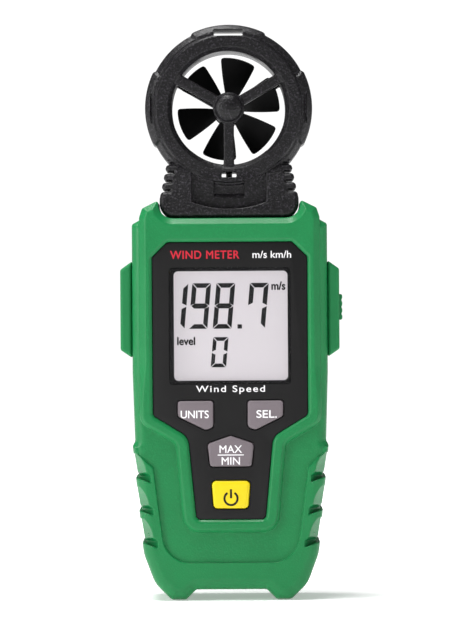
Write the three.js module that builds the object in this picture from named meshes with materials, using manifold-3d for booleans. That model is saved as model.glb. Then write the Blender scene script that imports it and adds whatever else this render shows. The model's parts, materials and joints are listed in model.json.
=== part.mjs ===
// Handheld vane anemometer: a slim meter body with a display and five keys, and a ducted fan wheel on a neck.
// Millimetres. +Z is up along the meter, -Y is the front with the display, +X is the viewer's right.
// The origin is on the ground plane under the middle of the meter, which stands on its two feet.
import * as THREE from "three";
import { mergeVertices } from "three/addons/utils/BufferGeometryUtils.js";
import Module from "manifold-3d";

const wasm = await Module();
wasm.setup();

// ---------------------------------------------------------------- driving dimensions
const GAP = 0.1; // between flat faces that rest on each other
const FIT = 0.3; // around keys and other pieces that slide in an opening
const WALL = 2.0; // moulded casing wall
const GRIP_WALL = 4.2; // thicker round the grip, under its scoops
const GRIP_TOP = 47.0;
const ARC_STEP = THREE.MathUtils.degToRad(22); // how finely corners are rounded

// Depths, measured along Y.
const FRAME_Y = -16.0; // crest of the raised frame round the face panel
const BUMPER_Y = -15.2; // crest of the U-shaped bumper on the grip
const FACE_Y = -14.2; // front of the casing between frame and bumper
const BACK_Y = 16.0; // rear of the casing
const SEAM_Y = 4.0; // front and rear shells meet here
const PANEL_Y = [-15.4, -14.1]; // black face panel
const INNER_Y = -12.2; // rear side of the front wall
const BOARD_Y = [-7.0, -5.4]; // circuit board
const EDGE_BEVEL = 3.0; // rounding of the casing's long edges

// The wheel duct, a ring about an axis along Y.
const HEAD_Z = 143.5;
const BORE_R = 16.7;
const CHAMFER_R = 17.9;
const RIM_R = 21.6; // outer edge of the ring's flat face
const RING_R = 23.9;
const BOSS_R = 24.5;
const RING_HALF = 10.0; // half the ring's depth
const BOSS_HALF = 9.3;
const BOSS_HALF_WIDTH = 10.6;
const HUB_R = 4.6;
const STRUT_WIDTH = 3.1;
const STRUT_DEPTH = [6.2, 9.2];
const STRUT_ANGLES = [60, 180, 300];

// The fan wheel.
const BLADES = 6;
const FIRST_BLADE = 11.7; // degrees clockwise from the top, seen from the front
const TIP_R = 15.1;
const WHEEL_HUB_R = 4.3;
const WHEEL_HALF = 4.8;
const BLADE_HALF_ANGLE = [24.5, 20.4]; // at the hub and at the tip
const BLADE_HALF_DEPTH = 3.9;
const BLADE_THICK = 0.8;

// The neck between duct and body.
const NECK_BASE_Z = 111.4;
const NECK_HALF_WIDTH = 20.3;
const NECK_HALF_DEPTH = 13.0;
const NECK_TOP_DEPTH = 8.7;
const SADDLE_Z = 111.2; // the body's top edge under the neck
const RIB_GROOVES_Z = [127.3, 124.8, 122.1, 119.4];

// The display and what lies behind it, from the front.
const VIEW_HALF = 17.0; // visible half-width of the display
const VIEW_Z = [63.5, 96.1];
const WINDOW_MARGIN = 0.6; // the clear window overlaps the view by this much
const LCD_Y = [-11.9, -9.7];
const BACKLIGHT_Y = [-9.6, -7.2];

// Keys.
const KEY_Y = -16.0; // key faces, level with the frame
const KEY_TRAVEL_GAP = 0.8; // between a key's stem and its switch
const SWITCH_TOP_Y = -9.9;
const SIDE_KEY_Z = [81.3, 88.9];
const SIDE_KEY_Y = [-6.5, -0.7];
const SIDE_KEY_X = 33.0;

// Side pads.
const PAD_X = [28.65, 32.0];
const PAD_Y = [-11.0, 3.6];

// Battery bay for three AAA cells side by side.
const CELL_R = 5.2;
const CELL_LENGTH = 44.5;
const CELL_PITCH = 10.9;
const CELL_Y = 8.0;
const BAY_HALF = 17.0;
const BAY_Z = [11.3, 61.0];
const BAY_Y = 2.4;
const BAY_WALL = 1.5;
const DOOR_HALF = 19.0;
const DOOR_Z = [8.25, 63.95];
const DOOR_Y = 14.7;

// Casing screws, as [x, z].
const CASE_SCREWS = [
  [-21.3, 104.6],
  [21.3, 104.6],
  [-21.6, 20.0],
  [21.6, 20.0],
];
const BOARD_SCREWS = [
  [-17.0, 28.0],
  [17.0, 28.0],
  [-22.2, 60.5],
  [22.2, 60.5],
];
const HEAD_SCREW_X = 12.8;
const HEAD_SCREW_Z = 115.6;

// ---------------------------------------------------------------- outlines in the XZ plane
// Corners are [x, z, radius], listed anticlockwise seen from the front; only the right half is given.
const BODY = [
  [10.3, 2.9, 1.0],
  [13.2, 0.0, 0.8],
  [17.5, 0.0, 1.6],
  [22.3, 4.7, 9.0],
  [25.6, 13.5, 12.0],
  [28.6, 44.9, 0.4],
  [27.9, 46.2, 0.3],
  [28.55, 66.0, 0.0],
  [28.55, 108.4, 1.6],
  [25.8, SADDLE_Z, 1.6],
];
const FRAME = [
  [13.7, 19.7, 5.0],
  [16.1, 45.5, 2.4],
  [26.4, 51.7, 4.2],
  [26.3, 111.4, 1.2],
  [25.4, 114.1, 0.7],
  [21.1, 116.4, 0.8],
  [20.7, SADDLE_Z, 4.2],
];
const PANEL = [
  [10.0, 23.6, 1.2],
  [12.25, 47.6, 4.6],
  [22.45, 53.8, 1.4],
  [22.5, 99.8, 1.0],
  [18.1, 104.1, 1.0],
];
const GRIP_FLAT = [
  [19.0, 10.9, 8.0],
  [22.6, 38.6, 0.8],
  [31.0, 46.2, 0.0],
  [31.0, 70.0, 0.0],
];
const NECK = [
  [NECK_HALF_WIDTH, NECK_BASE_Z, 4.0],
  [NECK_HALF_WIDTH, 116.9, 3.0],
  [18.1, 128.2, 0.0],
  [14.0, 131.0, 0.0],
];
const POWER_KEY = [
  [5.0, 26.7, 1.3],
  [5.6, 34.7, 1.3],
];
const MAX_MIN_KEY = [
  [6.0, 38.9, 0.9],
  [6.75, 45.5, 1.2],
  [0.0, 47.8, 1.0],
];
// The units key's whole outline; the select key is its mirror image.
const UNITS_KEY = [
  [-15.3, 58.0, 0.9],
  [-15.3, 53.5, 1.3],
  [-7.2, 49.5, 1.6],
  [-5.0, 50.4, 1.3],
  [-5.0, 58.0, 0.9],
];
const FRONT_KEYS = {
  units: { corners: UNITS_KEY, at: [-10.0, 54.4] },
  select: { corners: mirrored(UNITS_KEY), at: [10.0, 54.4] },
  max_min: { corners: symmetric(MAX_MIN_KEY), at: [0.0, 43.0] },
  power: { corners: symmetric(POWER_KEY), at: [0.0, 30.7] },
};

function mirrored(corners) {
  return corners.map(([x, z, r]) => [-x, z, r]).reverse();
}

// The whole outline from its right half; a corner on the middle line isn't repeated.
function symmetric(right) {
  return [...right, ...mirrored(right.filter(([x]) => x > 0))];
}

// ---------------------------------------------------------------- geometry helpers
// The outline as points, grown outward by `grow` (shrunk if negative), with its corners rounded.
function outlinePoints(corners, grow = 0) {
  const count = corners.length;
  const points = [];
  for (let i = 0; i < count; i++) {
    const [x, z, radius] = corners[i];
    const before = corners[(i + count - 1) % count];
    const after = corners[(i + 1) % count];
    const inward = new THREE.Vector2(x - before[0], z - before[1]).normalize();
    const onward = new THREE.Vector2(after[0] - x, after[1] - z).normalize();
    const n1 = new THREE.Vector2(inward.y, -inward.x);
    const n2 = new THREE.Vector2(onward.y, -onward.x);
    const shift = grow / (1 + n1.dot(n2));
    const corner = new THREE.Vector2(x + (n1.x + n2.x) * shift, z + (n1.y + n2.y) * shift);
    const turn = Math.atan2(inward.cross(onward), inward.dot(onward));
    const side = Math.sign(turn);
    if (radius === 0 || Math.abs(turn) < 0.02) {
      points.push(corner);
      continue;
    }
    const r = Math.max(0, radius + side * grow);
    const reach = r * Math.tan(Math.abs(turn) / 2);
    const start = corner.clone().addScaledVector(inward, -reach);
    const centre = start.clone().addScaledVector(n1, -side * r);
    const steps = Math.max(2, Math.ceil(Math.abs(turn) / ARC_STEP));
    for (let k = 0; k <= steps; k++) {
      const swung = start.clone().rotateAround(centre, (turn * k) / steps);
      points.push(swung);
    }
  }
  return points;
}

// A slab of that outline from yFront to yBack; its two rims are rounded by `bevel`, inside the outline.
function slab(corners, [yFront, yBack], { grow = 0, bevel = 0, steps = 2 } = {}) {
  const rings = [];
  for (let k = 0; bevel > 0 && k < steps; k++) {
    const t = (k / steps) * (Math.PI / 2);
    rings.push([bevel * (1 - Math.cos(t)), -bevel * (1 - Math.sin(t))]);
  }
  rings.push([bevel, 0]);
  const front = rings.map(([deep, offset]) => [yFront + deep, offset]);
  const back = rings.map(([deep, offset]) => [yBack - deep, offset]).reverse();
  const levels = [...front, ...back];
  const outlines = levels.map(([, offset]) => outlinePoints(corners, grow + offset));
  const count = outlines[0].length;
  const positions = levels.flatMap(([y], i) => outlines[i].flatMap((p) => [p.x, y, p.y]));
  const index = [];
  for (let i = 0; i + 1 < levels.length; i++) {
    for (let k = 0; k < count; k++) {
      const [a, b] = [i * count + k, i * count + ((k + 1) % count)];
      index.push(a, b, b + count, a, b + count, a + count);
    }
  }
  const last = levels.length - 1;
  index.push(...capFaces(outlines[0], 0, true), ...capFaces(outlines[last], last * count, false));
  return solid(indexed(positions, index));
}

// Triangles over one outline, whose points are numbered from `base`.
function capFaces(outline, base, flip) {
  const kept = outline.map((_, k) => k).filter((k) => {
    const next = outline[(k + 1) % outline.length];
    return outline[k].distanceTo(next) > 1e-4;
  });
  const faces = THREE.ShapeUtils.triangulateShape(kept.map((k) => outline[k]), []);
  return faces.flatMap(([a, b, c]) => {
    const corners = [a, b, c].map((n) => base + kept[n]);
    return flip ? corners.reverse() : corners;
  });
}

function indexed(positions, index) {
  const geometry = new THREE.BufferGeometry();
  geometry.setAttribute("position", new THREE.Float32BufferAttribute(positions, 3));
  return geometry.setIndex(index);
}

// A prism along X whose side profile is given as [y, z] points.
function sideSlab(profile, [x0, x1]) {
  const shape = new THREE.Shape(profile.map(([y, z]) => new THREE.Vector2(y, z)));
  const geometry = new THREE.ExtrudeGeometry(shape, { depth: x1 - x0, bevelEnabled: false });
  // The shape's own axes become Y and Z, and its depth runs along X.
  const turn = new THREE.Matrix4().set(0, 0, 1, x0, 1, 0, 0, 0, 0, 1, 0, 0, 0, 0, 0, 1);
  return solid(geometry.applyMatrix4(turn));
}

function block([x0, x1], [y0, y1], [z0, z1]) {
  const geometry = new THREE.BoxGeometry(x1 - x0, y1 - y0, z1 - z0);
  return solid(geometry.translate((x0 + x1) / 2, (y0 + y1) / 2, (z0 + z1) / 2));
}

// A round rod along Y at [x, z].
function rodY(radius, [x, z], [y0, y1], sides = 16) {
  const geometry = new THREE.CylinderGeometry(radius, radius, y1 - y0, sides);
  return solid(geometry.translate(x, (y0 + y1) / 2, z));
}

// A body of revolution about an axis along Y through [x, z]; the profile is [radius, y].
function turned(profile, [x, z], sides = 24) {
  const points = profile.map(([r, y]) => new THREE.Vector2(r, y));
  return solid(new THREE.LatheGeometry(points, sides).translate(x, 0, z));
}

// A closed geometry as a solid, with its faces turned to point out.
function solid(geometry) {
  const bare = new THREE.BufferGeometry();
  bare.setAttribute("position", geometry.getAttribute("position"));
  bare.setIndex(geometry.index);
  const merged = mergeVertices(bare, 1e-4);
  const index = merged.index.array;
  const faces = [];
  for (let i = 0; i < index.length; i += 3) {
    const [a, b, c] = [index[i], index[i + 1], index[i + 2]];
    if (a !== b && b !== c && c !== a) faces.push(a, b, c);
  }
  const build = (triangles) =>
    new wasm.Manifold(
      new wasm.Mesh({
        numProp: 3,
        vertProperties: Float32Array.from(merged.attributes.position.array),
        triVerts: Uint32Array.from(triangles),
      }),
    );
  const made = build(faces);
  return made.volume() < 0 ? build(faces.reverse()) : made;
}

const joined = (first, ...rest) => rest.reduce((whole, piece) => whole.add(piece), first);
const cut = (first, ...rest) => rest.reduce((whole, piece) => whole.subtract(piece), first);

// ---------------------------------------------------------------- materials
const finish = (color, roughness, metalness = 0, extra = {}) =>
  new THREE.MeshStandardMaterial({ color, roughness, metalness, ...extra });
const MATERIALS = {
  green: finish(0x218048, 0.45),
  rubber: finish(0x1f7a44, 0.6),
  black: finish(0x1b1b1d, 0.6),
  panel: finish(0x232022, 0.35),
  wheel: finish(0x0c0c0d, 0.4),
  clear: finish(0xf2f4f4, 0.05, 0, { transparent: true, opacity: 0.3 }),
  display: finish(0xdcdad9, 0.3),
  greyKey: finish(0x7f777b, 0.5),
  yellowKey: finish(0xf5e02a, 0.45),
  milky: finish(0xf0f0ec, 0.4),
  board: finish(0x1d5a34, 0.5),
  chip: finish(0x18181a, 0.5),
  steel: finish(0xb9bcc0, 0.3, 1),
  brass: finish(0xc8a14a, 0.3, 1),
  cell: finish(0x2f4a7a, 0.35),
  red: finish(0xb02020, 0.5),
};

const meter = new THREE.Group();
function place(name, shape, material) {
  const data = shape.getMesh();
  const geometry = new THREE.BufferGeometry();
  geometry.setAttribute("position", new THREE.BufferAttribute(data.vertProperties, 3));
  geometry.setIndex(new THREE.BufferAttribute(data.triVerts, 1));
  const mesh = new THREE.Mesh(geometry, material);
  mesh.name = name;
  meter.add(mesh);
}

// ---------------------------------------------------------------- wheel duct and neck
// A box at `radius` from the duct's axis, turned clockwise by `degrees` from the top.
function spoke(width, [r0, r1], [y0, y1], degrees) {
  const geometry = new THREE.BoxGeometry(width, y1 - y0, r1 - r0);
  geometry.translate(0, (y0 + y1) / 2, (r0 + r1) / 2);
  geometry.rotateY(THREE.MathUtils.degToRad(degrees));
  return solid(geometry.translate(0, 0, HEAD_Z));
}

// The front (side -1) or rear (side 1) half of the duct, its struts and hub, and the neck.
function headHalf(side) {
  const depths = (near, far) => (side > 0 ? [near, far] : [-far, -near]);
  const centre = [0, HEAD_Z];
  const inner = GAP / 2;
  const everyDepth = depths(-1, 20);

  const ring = turned(
    [
      [BORE_R, side * inner],
      [BORE_R, side * (RING_HALF - 1.5)],
      [CHAMFER_R, side * RING_HALF],
      [RIM_R, side * RING_HALF],
      [RING_R, side * (RING_HALF - 2.8)],
      [RING_R, side * inner],
      [BORE_R, side * inner],
    ],
    centre,
    56,
  );
  const disc = rodY(BOSS_R, centre, depths(inner, BOSS_HALF), 56);
  const inside = rodY(RIM_R - 1, centre, everyDepth, 40);
  const bumpers = [0, 90, 270].map((angle) =>
    cut(spoke(2 * BOSS_HALF_WIDTH, [10, 30], everyDepth, angle).intersect(disc), inside),
  );
  // A recess in the neck under the ring, with a deeper pocket in its middle.
  const recess = cut(
    block([-BOSS_HALF_WIDTH, BOSS_HALF_WIDTH], depths(9.1, 20), [110, 128]).intersect(
      rodY(29.6, centre, everyDepth, 56),
    ),
    rodY(RIM_R, centre, everyDepth, 56),
  );
  const pocket = cut(
    block([-4.4, 4.4], depths(8.2, 20), [117.4, 123]),
    rodY(RIM_R, centre, everyDepth, 56),
  );

  const profile = [
    [side * inner, 109.0],
    [side * (NECK_HALF_DEPTH - 1.5), 109.0],
    [side * NECK_HALF_DEPTH, NECK_BASE_Z + 1.5],
    [side * NECK_HALF_DEPTH, 114.0],
    [side * NECK_TOP_DEPTH, 128.0],
    [side * NECK_TOP_DEPTH, 132.0],
    [side * inner, 132.0],
  ];
  const neck = cut(
    slab(symmetric(NECK), everyDepth).intersect(sideSlab(profile, [-25, 25])),
    rodY(BORE_R, centre, everyDepth, 56),
  );
  const grooves = RIB_GROOVES_Z.flatMap((z) => {
    const edge = NECK_HALF_WIDTH - 0.2 * (z - 116.9);
    return [
      block([edge - 2.6, 30], everyDepth, [z - 0.5, z + 0.5]),
      block([-30, 2.6 - edge], everyDepth, [z - 0.5, z + 0.5]),
    ];
  });
  const spigot = block([-14, 14], depths(inner, 8), [107, NECK_BASE_Z + 1]);
  const flange = block([-16.5, 16.5], depths(inner, 9.5), [105.5, 108.9]);

  const dome = Array.from({ length: 5 }, (_, k) => {
    const t = (k / 4) * (Math.PI / 2);
    return [4.15 * Math.cos(t), side * (9.6 + 2.2 * Math.sin(t))];
  });
  dome[4][0] = 0;
  const hub = turned([[0, side * 5.2], [HUB_R, side * 5.2], [HUB_R, side * 9.6], ...dome], centre, 32);
  const struts = STRUT_ANGLES.map((angle) =>
    spoke(STRUT_WIDTH, [3, 18.5], depths(...STRUT_DEPTH), angle),
  );

  const base = cut(neck, recess, pocket, ...grooves);
  const whole = joined(base, spigot, flange, ring, ...bumpers, ...struts, hub);
  const openings = [
    // the lanyard slot through the top bumper
    block([-4.3, 4.3], everyDepth, [HEAD_Z + 21.4, HEAD_Z + 23.4]),
    // shallow pockets in the two side bumpers
    block([22.0, 23.2], depths(7.5, 20), [HEAD_Z - 4.2, HEAD_Z + 4.2]),
    block([-23.2, -22.0], depths(7.5, 20), [HEAD_Z - 4.2, HEAD_Z + 4.2]),
    // the vent that the temperature sensor's bead stands in, and the channel for its stem
    block([-2.2, 2.2], everyDepth, [123.2, 124.8]),
    block([-0.9, 0.9], depths(-1, 0.9), [119, 124]),
    // the wiring chamber in the neck, open at the bottom, and the bearing's seat
    block([-8, 8], depths(-1, 7.3), [104, 116.5]),
    block([-8, 8], depths(-1, 6.0), [116, 120.5]),
    rodY(1.75, centre, depths(4, 9.1)),
  ];
  const screws = [-HEAD_SCREW_X, HEAD_SCREW_X].map((x) => [x, HEAD_SCREW_Z]);
  if (side > 0) {
    openings.push(
      block([-1.2, 1.2], depths(5.9, 7.3), [112, HEAD_Z - 1.9]),
      block([-1.5, 1.5], depths(4, 7.3), [HEAD_Z - 4.3, HEAD_Z - 1.9]),
      ...screws.flatMap((at) => [rodY(1.25, at, depths(-1, 20)), rodY(2.2, at, depths(10.4, 20))]),
    );
  } else {
    openings.push(...screws.map((at) => rodY(1.1, at, depths(-1, 6.5))));
  }
  return cut(whole, ...openings);
}

// A helical blade, its width growing from hub to tip, its thickness measured along Y.
function blade(degrees) {
  const across = 6;
  const along = 3;
  const positions = [];
  for (const face of [-1, 1]) {
    for (let i = 0; i <= along; i++) {
      const share = i / along;
      const radius = THREE.MathUtils.lerp(WHEEL_HUB_R - 0.9, TIP_R, share);
      const half = THREE.MathUtils.lerp(...BLADE_HALF_ANGLE, share);
      for (let k = 0; k <= across; k++) {
        const t = (2 * k) / across - 1;
        const angle = THREE.MathUtils.degToRad(degrees + half * t);
        const y = BLADE_HALF_DEPTH * t + (face * BLADE_THICK) / 2;
        positions.push(radius * Math.sin(angle), y, HEAD_Z + radius * Math.cos(angle));
      }
    }
  }
  const row = across + 1;
  const sheet = row * (along + 1);
  const at = (face, i, k) => face * sheet + i * row + k;
  const index = [];
  const quad = (a, b, c, d) => index.push(a, b, c, a, c, d);
  for (let i = 0; i < along; i++) {
    for (let k = 0; k < across; k++) {
      quad(at(0, i, k), at(0, i, k + 1), at(0, i + 1, k + 1), at(0, i + 1, k));
      quad(at(1, i, k), at(1, i + 1, k), at(1, i + 1, k + 1), at(1, i, k + 1));
    }
    quad(at(0, i, 0), at(0, i + 1, 0), at(1, i + 1, 0), at(1, i, 0));
    quad(at(0, i, across), at(1, i, across), at(1, i + 1, across), at(0, i + 1, across));
  }
  for (let k = 0; k < across; k++) {
    quad(at(0, 0, k), at(1, 0, k), at(1, 0, k + 1), at(0, 0, k + 1));
    quad(at(0, along, k), at(0, along, k + 1), at(1, along, k + 1), at(1, along, k));
  }
  return solid(indexed(positions, index));
}

function fanWheel() {
  const centre = [0, HEAD_Z];
  const hub = turned(
    [
      [0, -WHEEL_HALF],
      [3.4, -WHEEL_HALF],
      [WHEEL_HUB_R, -WHEEL_HALF + 0.9],
      [WHEEL_HUB_R, WHEEL_HALF],
      [0, WHEEL_HALF],
    ],
    centre,
    24,
  );
  const blades = Array.from({ length: BLADES }, (_, k) => blade(FIRST_BLADE + (360 / BLADES) * k));
  return cut(
    joined(hub, ...blades),
    rodY(0.66, centre, [-6, 6]),
    rodY(2.8, centre, [3.3, 6]),
  );
}

function bearing(side) {
  const profile = [
    [0, side * 9.0],
    [1.6, side * 9.0],
    [1.6, side * 5.4],
    [0.68, side * 5.4],
    [0.68, side * 8.6],
    [0, side * 8.6],
  ];
  return turned(profile, [0, HEAD_Z], 16);
}

// A flat ribbon of conductors; its middle line is given as [y, z] points.
function ribbon(line, width, thick) {
  const points = line.map(([y, z]) => new THREE.Vector2(y, z));
  const edge = (side) =>
    points.map((p, i) => {
      const along = points[Math.min(i + 1, points.length - 1)].clone().sub(points[Math.max(i - 1, 0)]);
      along.normalize();
      return [p.x - (side * along.y * thick) / 2, p.y + (side * along.x * thick) / 2];
    });
  return sideSlab([...edge(1), ...edge(-1).reverse()], [-width / 2, width / 2]);
}

function buildHead() {
  const centre = [0, HEAD_Z];
  place("head_front", headHalf(-1), MATERIALS.black);
  place("head_rear", headHalf(1), MATERIALS.black);
  place("fan_wheel", fanWheel(), MATERIALS.wheel);
  place("wheel_shaft", rodY(0.6, centre, [-8.4, 8.4], 12), MATERIALS.steel);
  const magnet = cut(rodY(2.6, centre, [3.5, 4.6], 20), rodY(0.95, centre, [3, 5], 16));
  place("hub_magnet", magnet, MATERIALS.steel);
  place("front_bearing", bearing(-1), MATERIALS.brass);
  place("rear_bearing", bearing(1), MATERIALS.brass);
  place("speed_sensor", block([-1.2, 1.2], [5.3, 6.3], [HEAD_Z - 4.1, HEAD_Z - 2.1]), MATERIALS.chip);
  const bead = Array.from({ length: 5 }, (_, k) => {
    const t = (k / 4) * (Math.PI / 2);
    return new THREE.Vector2(k === 4 ? 0 : 0.85 * Math.cos(t), 123.3 + 0.85 * Math.sin(t));
  });
  const stem = [[0, 112], [0.45, 112], [0.45, 122.6]].map(([r, z]) => new THREE.Vector2(r, z));
  const sensor = new THREE.LatheGeometry([...stem, ...bead], 12).rotateX(Math.PI / 2);
  place("temperature_sensor", solid(sensor), MATERIALS.chip);
  const line = [
    [6.8, HEAD_Z - 4.6],
    [6.8, 114.0],
    [6.2, 108.0],
    [4.0, 103.0],
    [-1.0, 100.0],
    [-3.3, 97.0],
    [-3.6, 95.4],
  ];
  place("sensor_ribbon", ribbon(line, 1.8, 0.5), MATERIALS.milky);
  const size = { seat: 10.5, tip: -5.5, shank: 0.95, head: 1.95, tall: 1.4 };
  for (const [name, x] of [["head_screw_left", -HEAD_SCREW_X], ["head_screw_right", HEAD_SCREW_X]]) {
    place(name, screw([x, HEAD_SCREW_Z], size), MATERIALS.steel);
  }
}

// A cross-head screw along Y; its head stands behind the seat, its tip points forward.
function screw([x, z], { seat, tip, shank, head, tall }) {
  const profile = [
    [0, tip],
    [shank * 0.4, tip],
    [shank, tip + 1.2],
    [shank, seat],
    [head, seat],
    [head, seat + tall * 0.6],
    [head * 0.75, seat + tall],
    [0, seat + tall],
  ];
  const top = seat + tall;
  const arm = head * 0.62;
  const slot = 0.22 * head;
  return cut(
    turned(profile, [x, z], 16),
    block([x - arm, x + arm], [top - 0.7, top + 1], [z - slot, z + slot]),
    block([x - slot, x + slot], [top - 0.7, top + 1], [z - arm, z + arm]),
  );
}

// ---------------------------------------------------------------- casing
// Diagonal scoops that leave three steps down each side of the grip.
function gripScoops() {
  const scoops = [];
  for (const [x, z] of [[27.8, 36.2], [27.0, 26.7], [25.9, 17.2]]) {
    for (const side of [-1, 1]) {
      const wedge = new THREE.BoxGeometry(4, 60, 2.6);
      wedge.translate(2.0 - 1.1, 0, 1.3);
      wedge.rotateY(THREE.MathUtils.degToRad(-28));
      wedge.translate(x, 0, z);
      scoops.push(solid(side > 0 ? wedge : wedge.scale(-1, 1, 1)));
    }
  }
  return scoops;
}

// The casing's whole outside, before it is split into two shells.
function bodyForm() {
  const core = slab(symmetric(BODY), [FACE_Y, BACK_Y], { bevel: EDGE_BEVEL });
  const frame = slab(symmetric(FRAME), [FRAME_Y, 12], { bevel: 1.0, steps: 1 });
  const bumper = cut(
    slab(symmetric(BODY), [BUMPER_Y, 0], { bevel: EDGE_BEVEL }).intersect(
      block([-40, 40], [-20, 0], [-1, 45]),
    ),
    slab(symmetric(GRIP_FLAT), [-20, -6]),
  );
  return cut(joined(core, bumper), ...gripScoops()).add(frame);
}

// The space inside the casing between two depths.
function casingRoom(depths) {
  const upper = slab(symmetric(BODY), depths, { grow: -WALL });
  const lower = slab(symmetric(BODY), depths, { grow: -GRIP_WALL });
  return lower.add(cut(upper, block([-40, 40], [-40, 40], [-10, GRIP_TOP])));
}

function frontShell(form) {
  const room = casingRoom([INNER_Y, 30]);
  const hollow = cut(form.intersect(block([-40, 40], [-20, SEAM_Y - GAP / 2], [-1, 130])), room);
  const bosses = CASE_SCREWS.map((at) => rodY(2.7, at, [INNER_Y - 0.5, SEAM_Y - GAP / 2], 14));
  const posts = BOARD_SCREWS.map((at) => rodY(1.9, at, [INNER_Y - 0.5, BOARD_Y[0] - GAP], 12));
  const openings = [
    slab(symmetric(PANEL), [-20, PANEL_Y[1] + GAP], { grow: 0.15 }),
    slab(viewCorners(0), [-20, -5]),
    ...Object.values(FRONT_KEYS).map((key) => slab(key.corners, [-20, -5], { grow: FIT })),
    block([-14.3, 14.3], [-8.3, 10], [105, 112]),
    block([20, 40], [SIDE_KEY_Y[0] + 0.7, SIDE_KEY_Y[1] - 0.7], [SIDE_KEY_Z[0] + 1.2, SIDE_KEY_Z[1] - 1.2]),
    block([-40, -20], [-6.0, -1.0], [82.5, 87.5]),
    ...CASE_SCREWS.map((at) => rodY(1.35, at, [-6, 10], 12)),
    ...BOARD_SCREWS.map((at) => rodY(0.9, at, [-11.5, 0], 10)),
  ];
  return cut(joined(hollow, ...bosses, ...posts), ...openings);
}

function rearShell(form) {
  const room = casingRoom([-20, BACK_Y - WALL]);
  const hollow = cut(form.intersect(block([-40, 40], [SEAM_Y + GAP / 2, 30], [-1, 130])), room);
  const bosses = CASE_SCREWS.map((at) => rodY(2.9, at, [SEAM_Y + GAP / 2, BACK_Y - 1], 14));
  const bay = block(
    [-BAY_HALF - BAY_WALL, BAY_HALF + BAY_WALL],
    [BAY_Y - 1.4, DOOR_Y - GAP],
    [BAY_Z[0] - 1.8, BAY_Z[1] + 1.6],
  );
  const tabSlots = [-11, 11].map((x) => block([x - 3.4, x + 3.4], [11.8, 14.9], [5.6, 12.6]));
  const openings = [
    block([-DOOR_HALF - 0.25, DOOR_HALF + 0.25], [DOOR_Y - GAP, 20], [DOOR_Z[0] - 0.25, DOOR_Z[1] + 0.3]),
    block([-BAY_HALF, BAY_HALF], [BAY_Y, 20], BAY_Z),
    // the slot for the latch and the finger scoop above the door
    block([-4.6, 4.6], [12.6, 20], [60, DOOR_Z[1] + 0.3]),
    block([-6.5, 6.5], [BACK_Y - 1.1, 20], [63, 67.5]),
    block([-14.3, 14.3], [-10, 8.3], [105, 112]),
    // where the positive and negative leads leave the bay
    block([-13.2, -9.8], [-1, 4.0], [59.5, 60.4]),
    block([9.8, 13.2], [-1, 4.0], [11.8, 13.8]),
    ...CASE_SCREWS.flatMap((at) => [rodY(1.4, at, [0, 20], 12), rodY(2.5, at, [13.0, 20], 18)]),
    ...tabSlots,
  ];
  return cut(joined(hollow, ...bosses, bay), ...openings);
}

function viewCorners(grow) {
  const half = VIEW_HALF + grow;
  return [
    [half, VIEW_Z[0] - grow, 1.2],
    [half, VIEW_Z[1] + grow, 1.2],
    [-half, VIEW_Z[1] + grow, 1.2],
    [-half, VIEW_Z[0] - grow, 1.2],
  ];
}

function sidePad(side) {
  const [x0, x1] = PAD_X;
  const corners = [
    [x0, 70.6, 0],
    [x1, 72.9, 0.6],
    [x1, 96.3, 0.6],
    [x0, 98.7, 0],
  ];
  const pad = slab(side > 0 ? corners : mirrored(corners), PAD_Y, { bevel: 0.8, steps: 1 });
  if (side > 0) {
    const [depth, tall] = [SIDE_KEY_Y, SIDE_KEY_Z].map(([low, high]) => [low - FIT, high + FIT]);
    const hole = block([20, 40], depth, tall);
    return cut(pad, hole);
  }
  return pad.add(block([-30, -26.8], [-5.8, -1.2], [82.7, 87.3]));
}

function buildCasing() {
  const form = bodyForm();
  place("front_shell", frontShell(form), MATERIALS.green);
  place("rear_shell", rearShell(form), MATERIALS.green);
  place("left_side_pad", sidePad(-1), MATERIALS.rubber);
  place("right_side_pad", sidePad(1), MATERIALS.rubber);
  const names = ["upper_left", "upper_right", "lower_left", "lower_right"];
  const size = { seat: 13.1, tip: -4.5, shank: 1.2, head: 2.2, tall: 1.6 };
  CASE_SCREWS.forEach((at, i) => place(`case_screw_${names[i]}`, screw(at, size), MATERIALS.steel));
}

// ---------------------------------------------------------------- face panel, keys and display
function frontKey({ corners, at }) {
  const cap = slab(corners, [KEY_Y, INNER_Y + 0.3], { bevel: 0.5, steps: 1 });
  const body = slab(corners, [-14.5, INNER_Y + 0.5]);
  const flange = slab(corners, [INNER_Y + 0.2, INNER_Y + 1.0], { grow: FIT + 0.45 });
  const stem = rodY(1.6, at, [INNER_Y + 0.5, SWITCH_TOP_Y - KEY_TRAVEL_GAP], 14);
  return joined(cap, body, flange, stem);
}

function keySwitch([x, z]) {
  const front = BOARD_Y[0] - GAP;
  const body = block([x - 3, x + 3], [-9.1, front], [z - 3, z + 3]);
  return joined(body, rodY(1.5, [x, z], [SWITCH_TOP_Y, -9.0], 12));
}

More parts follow.
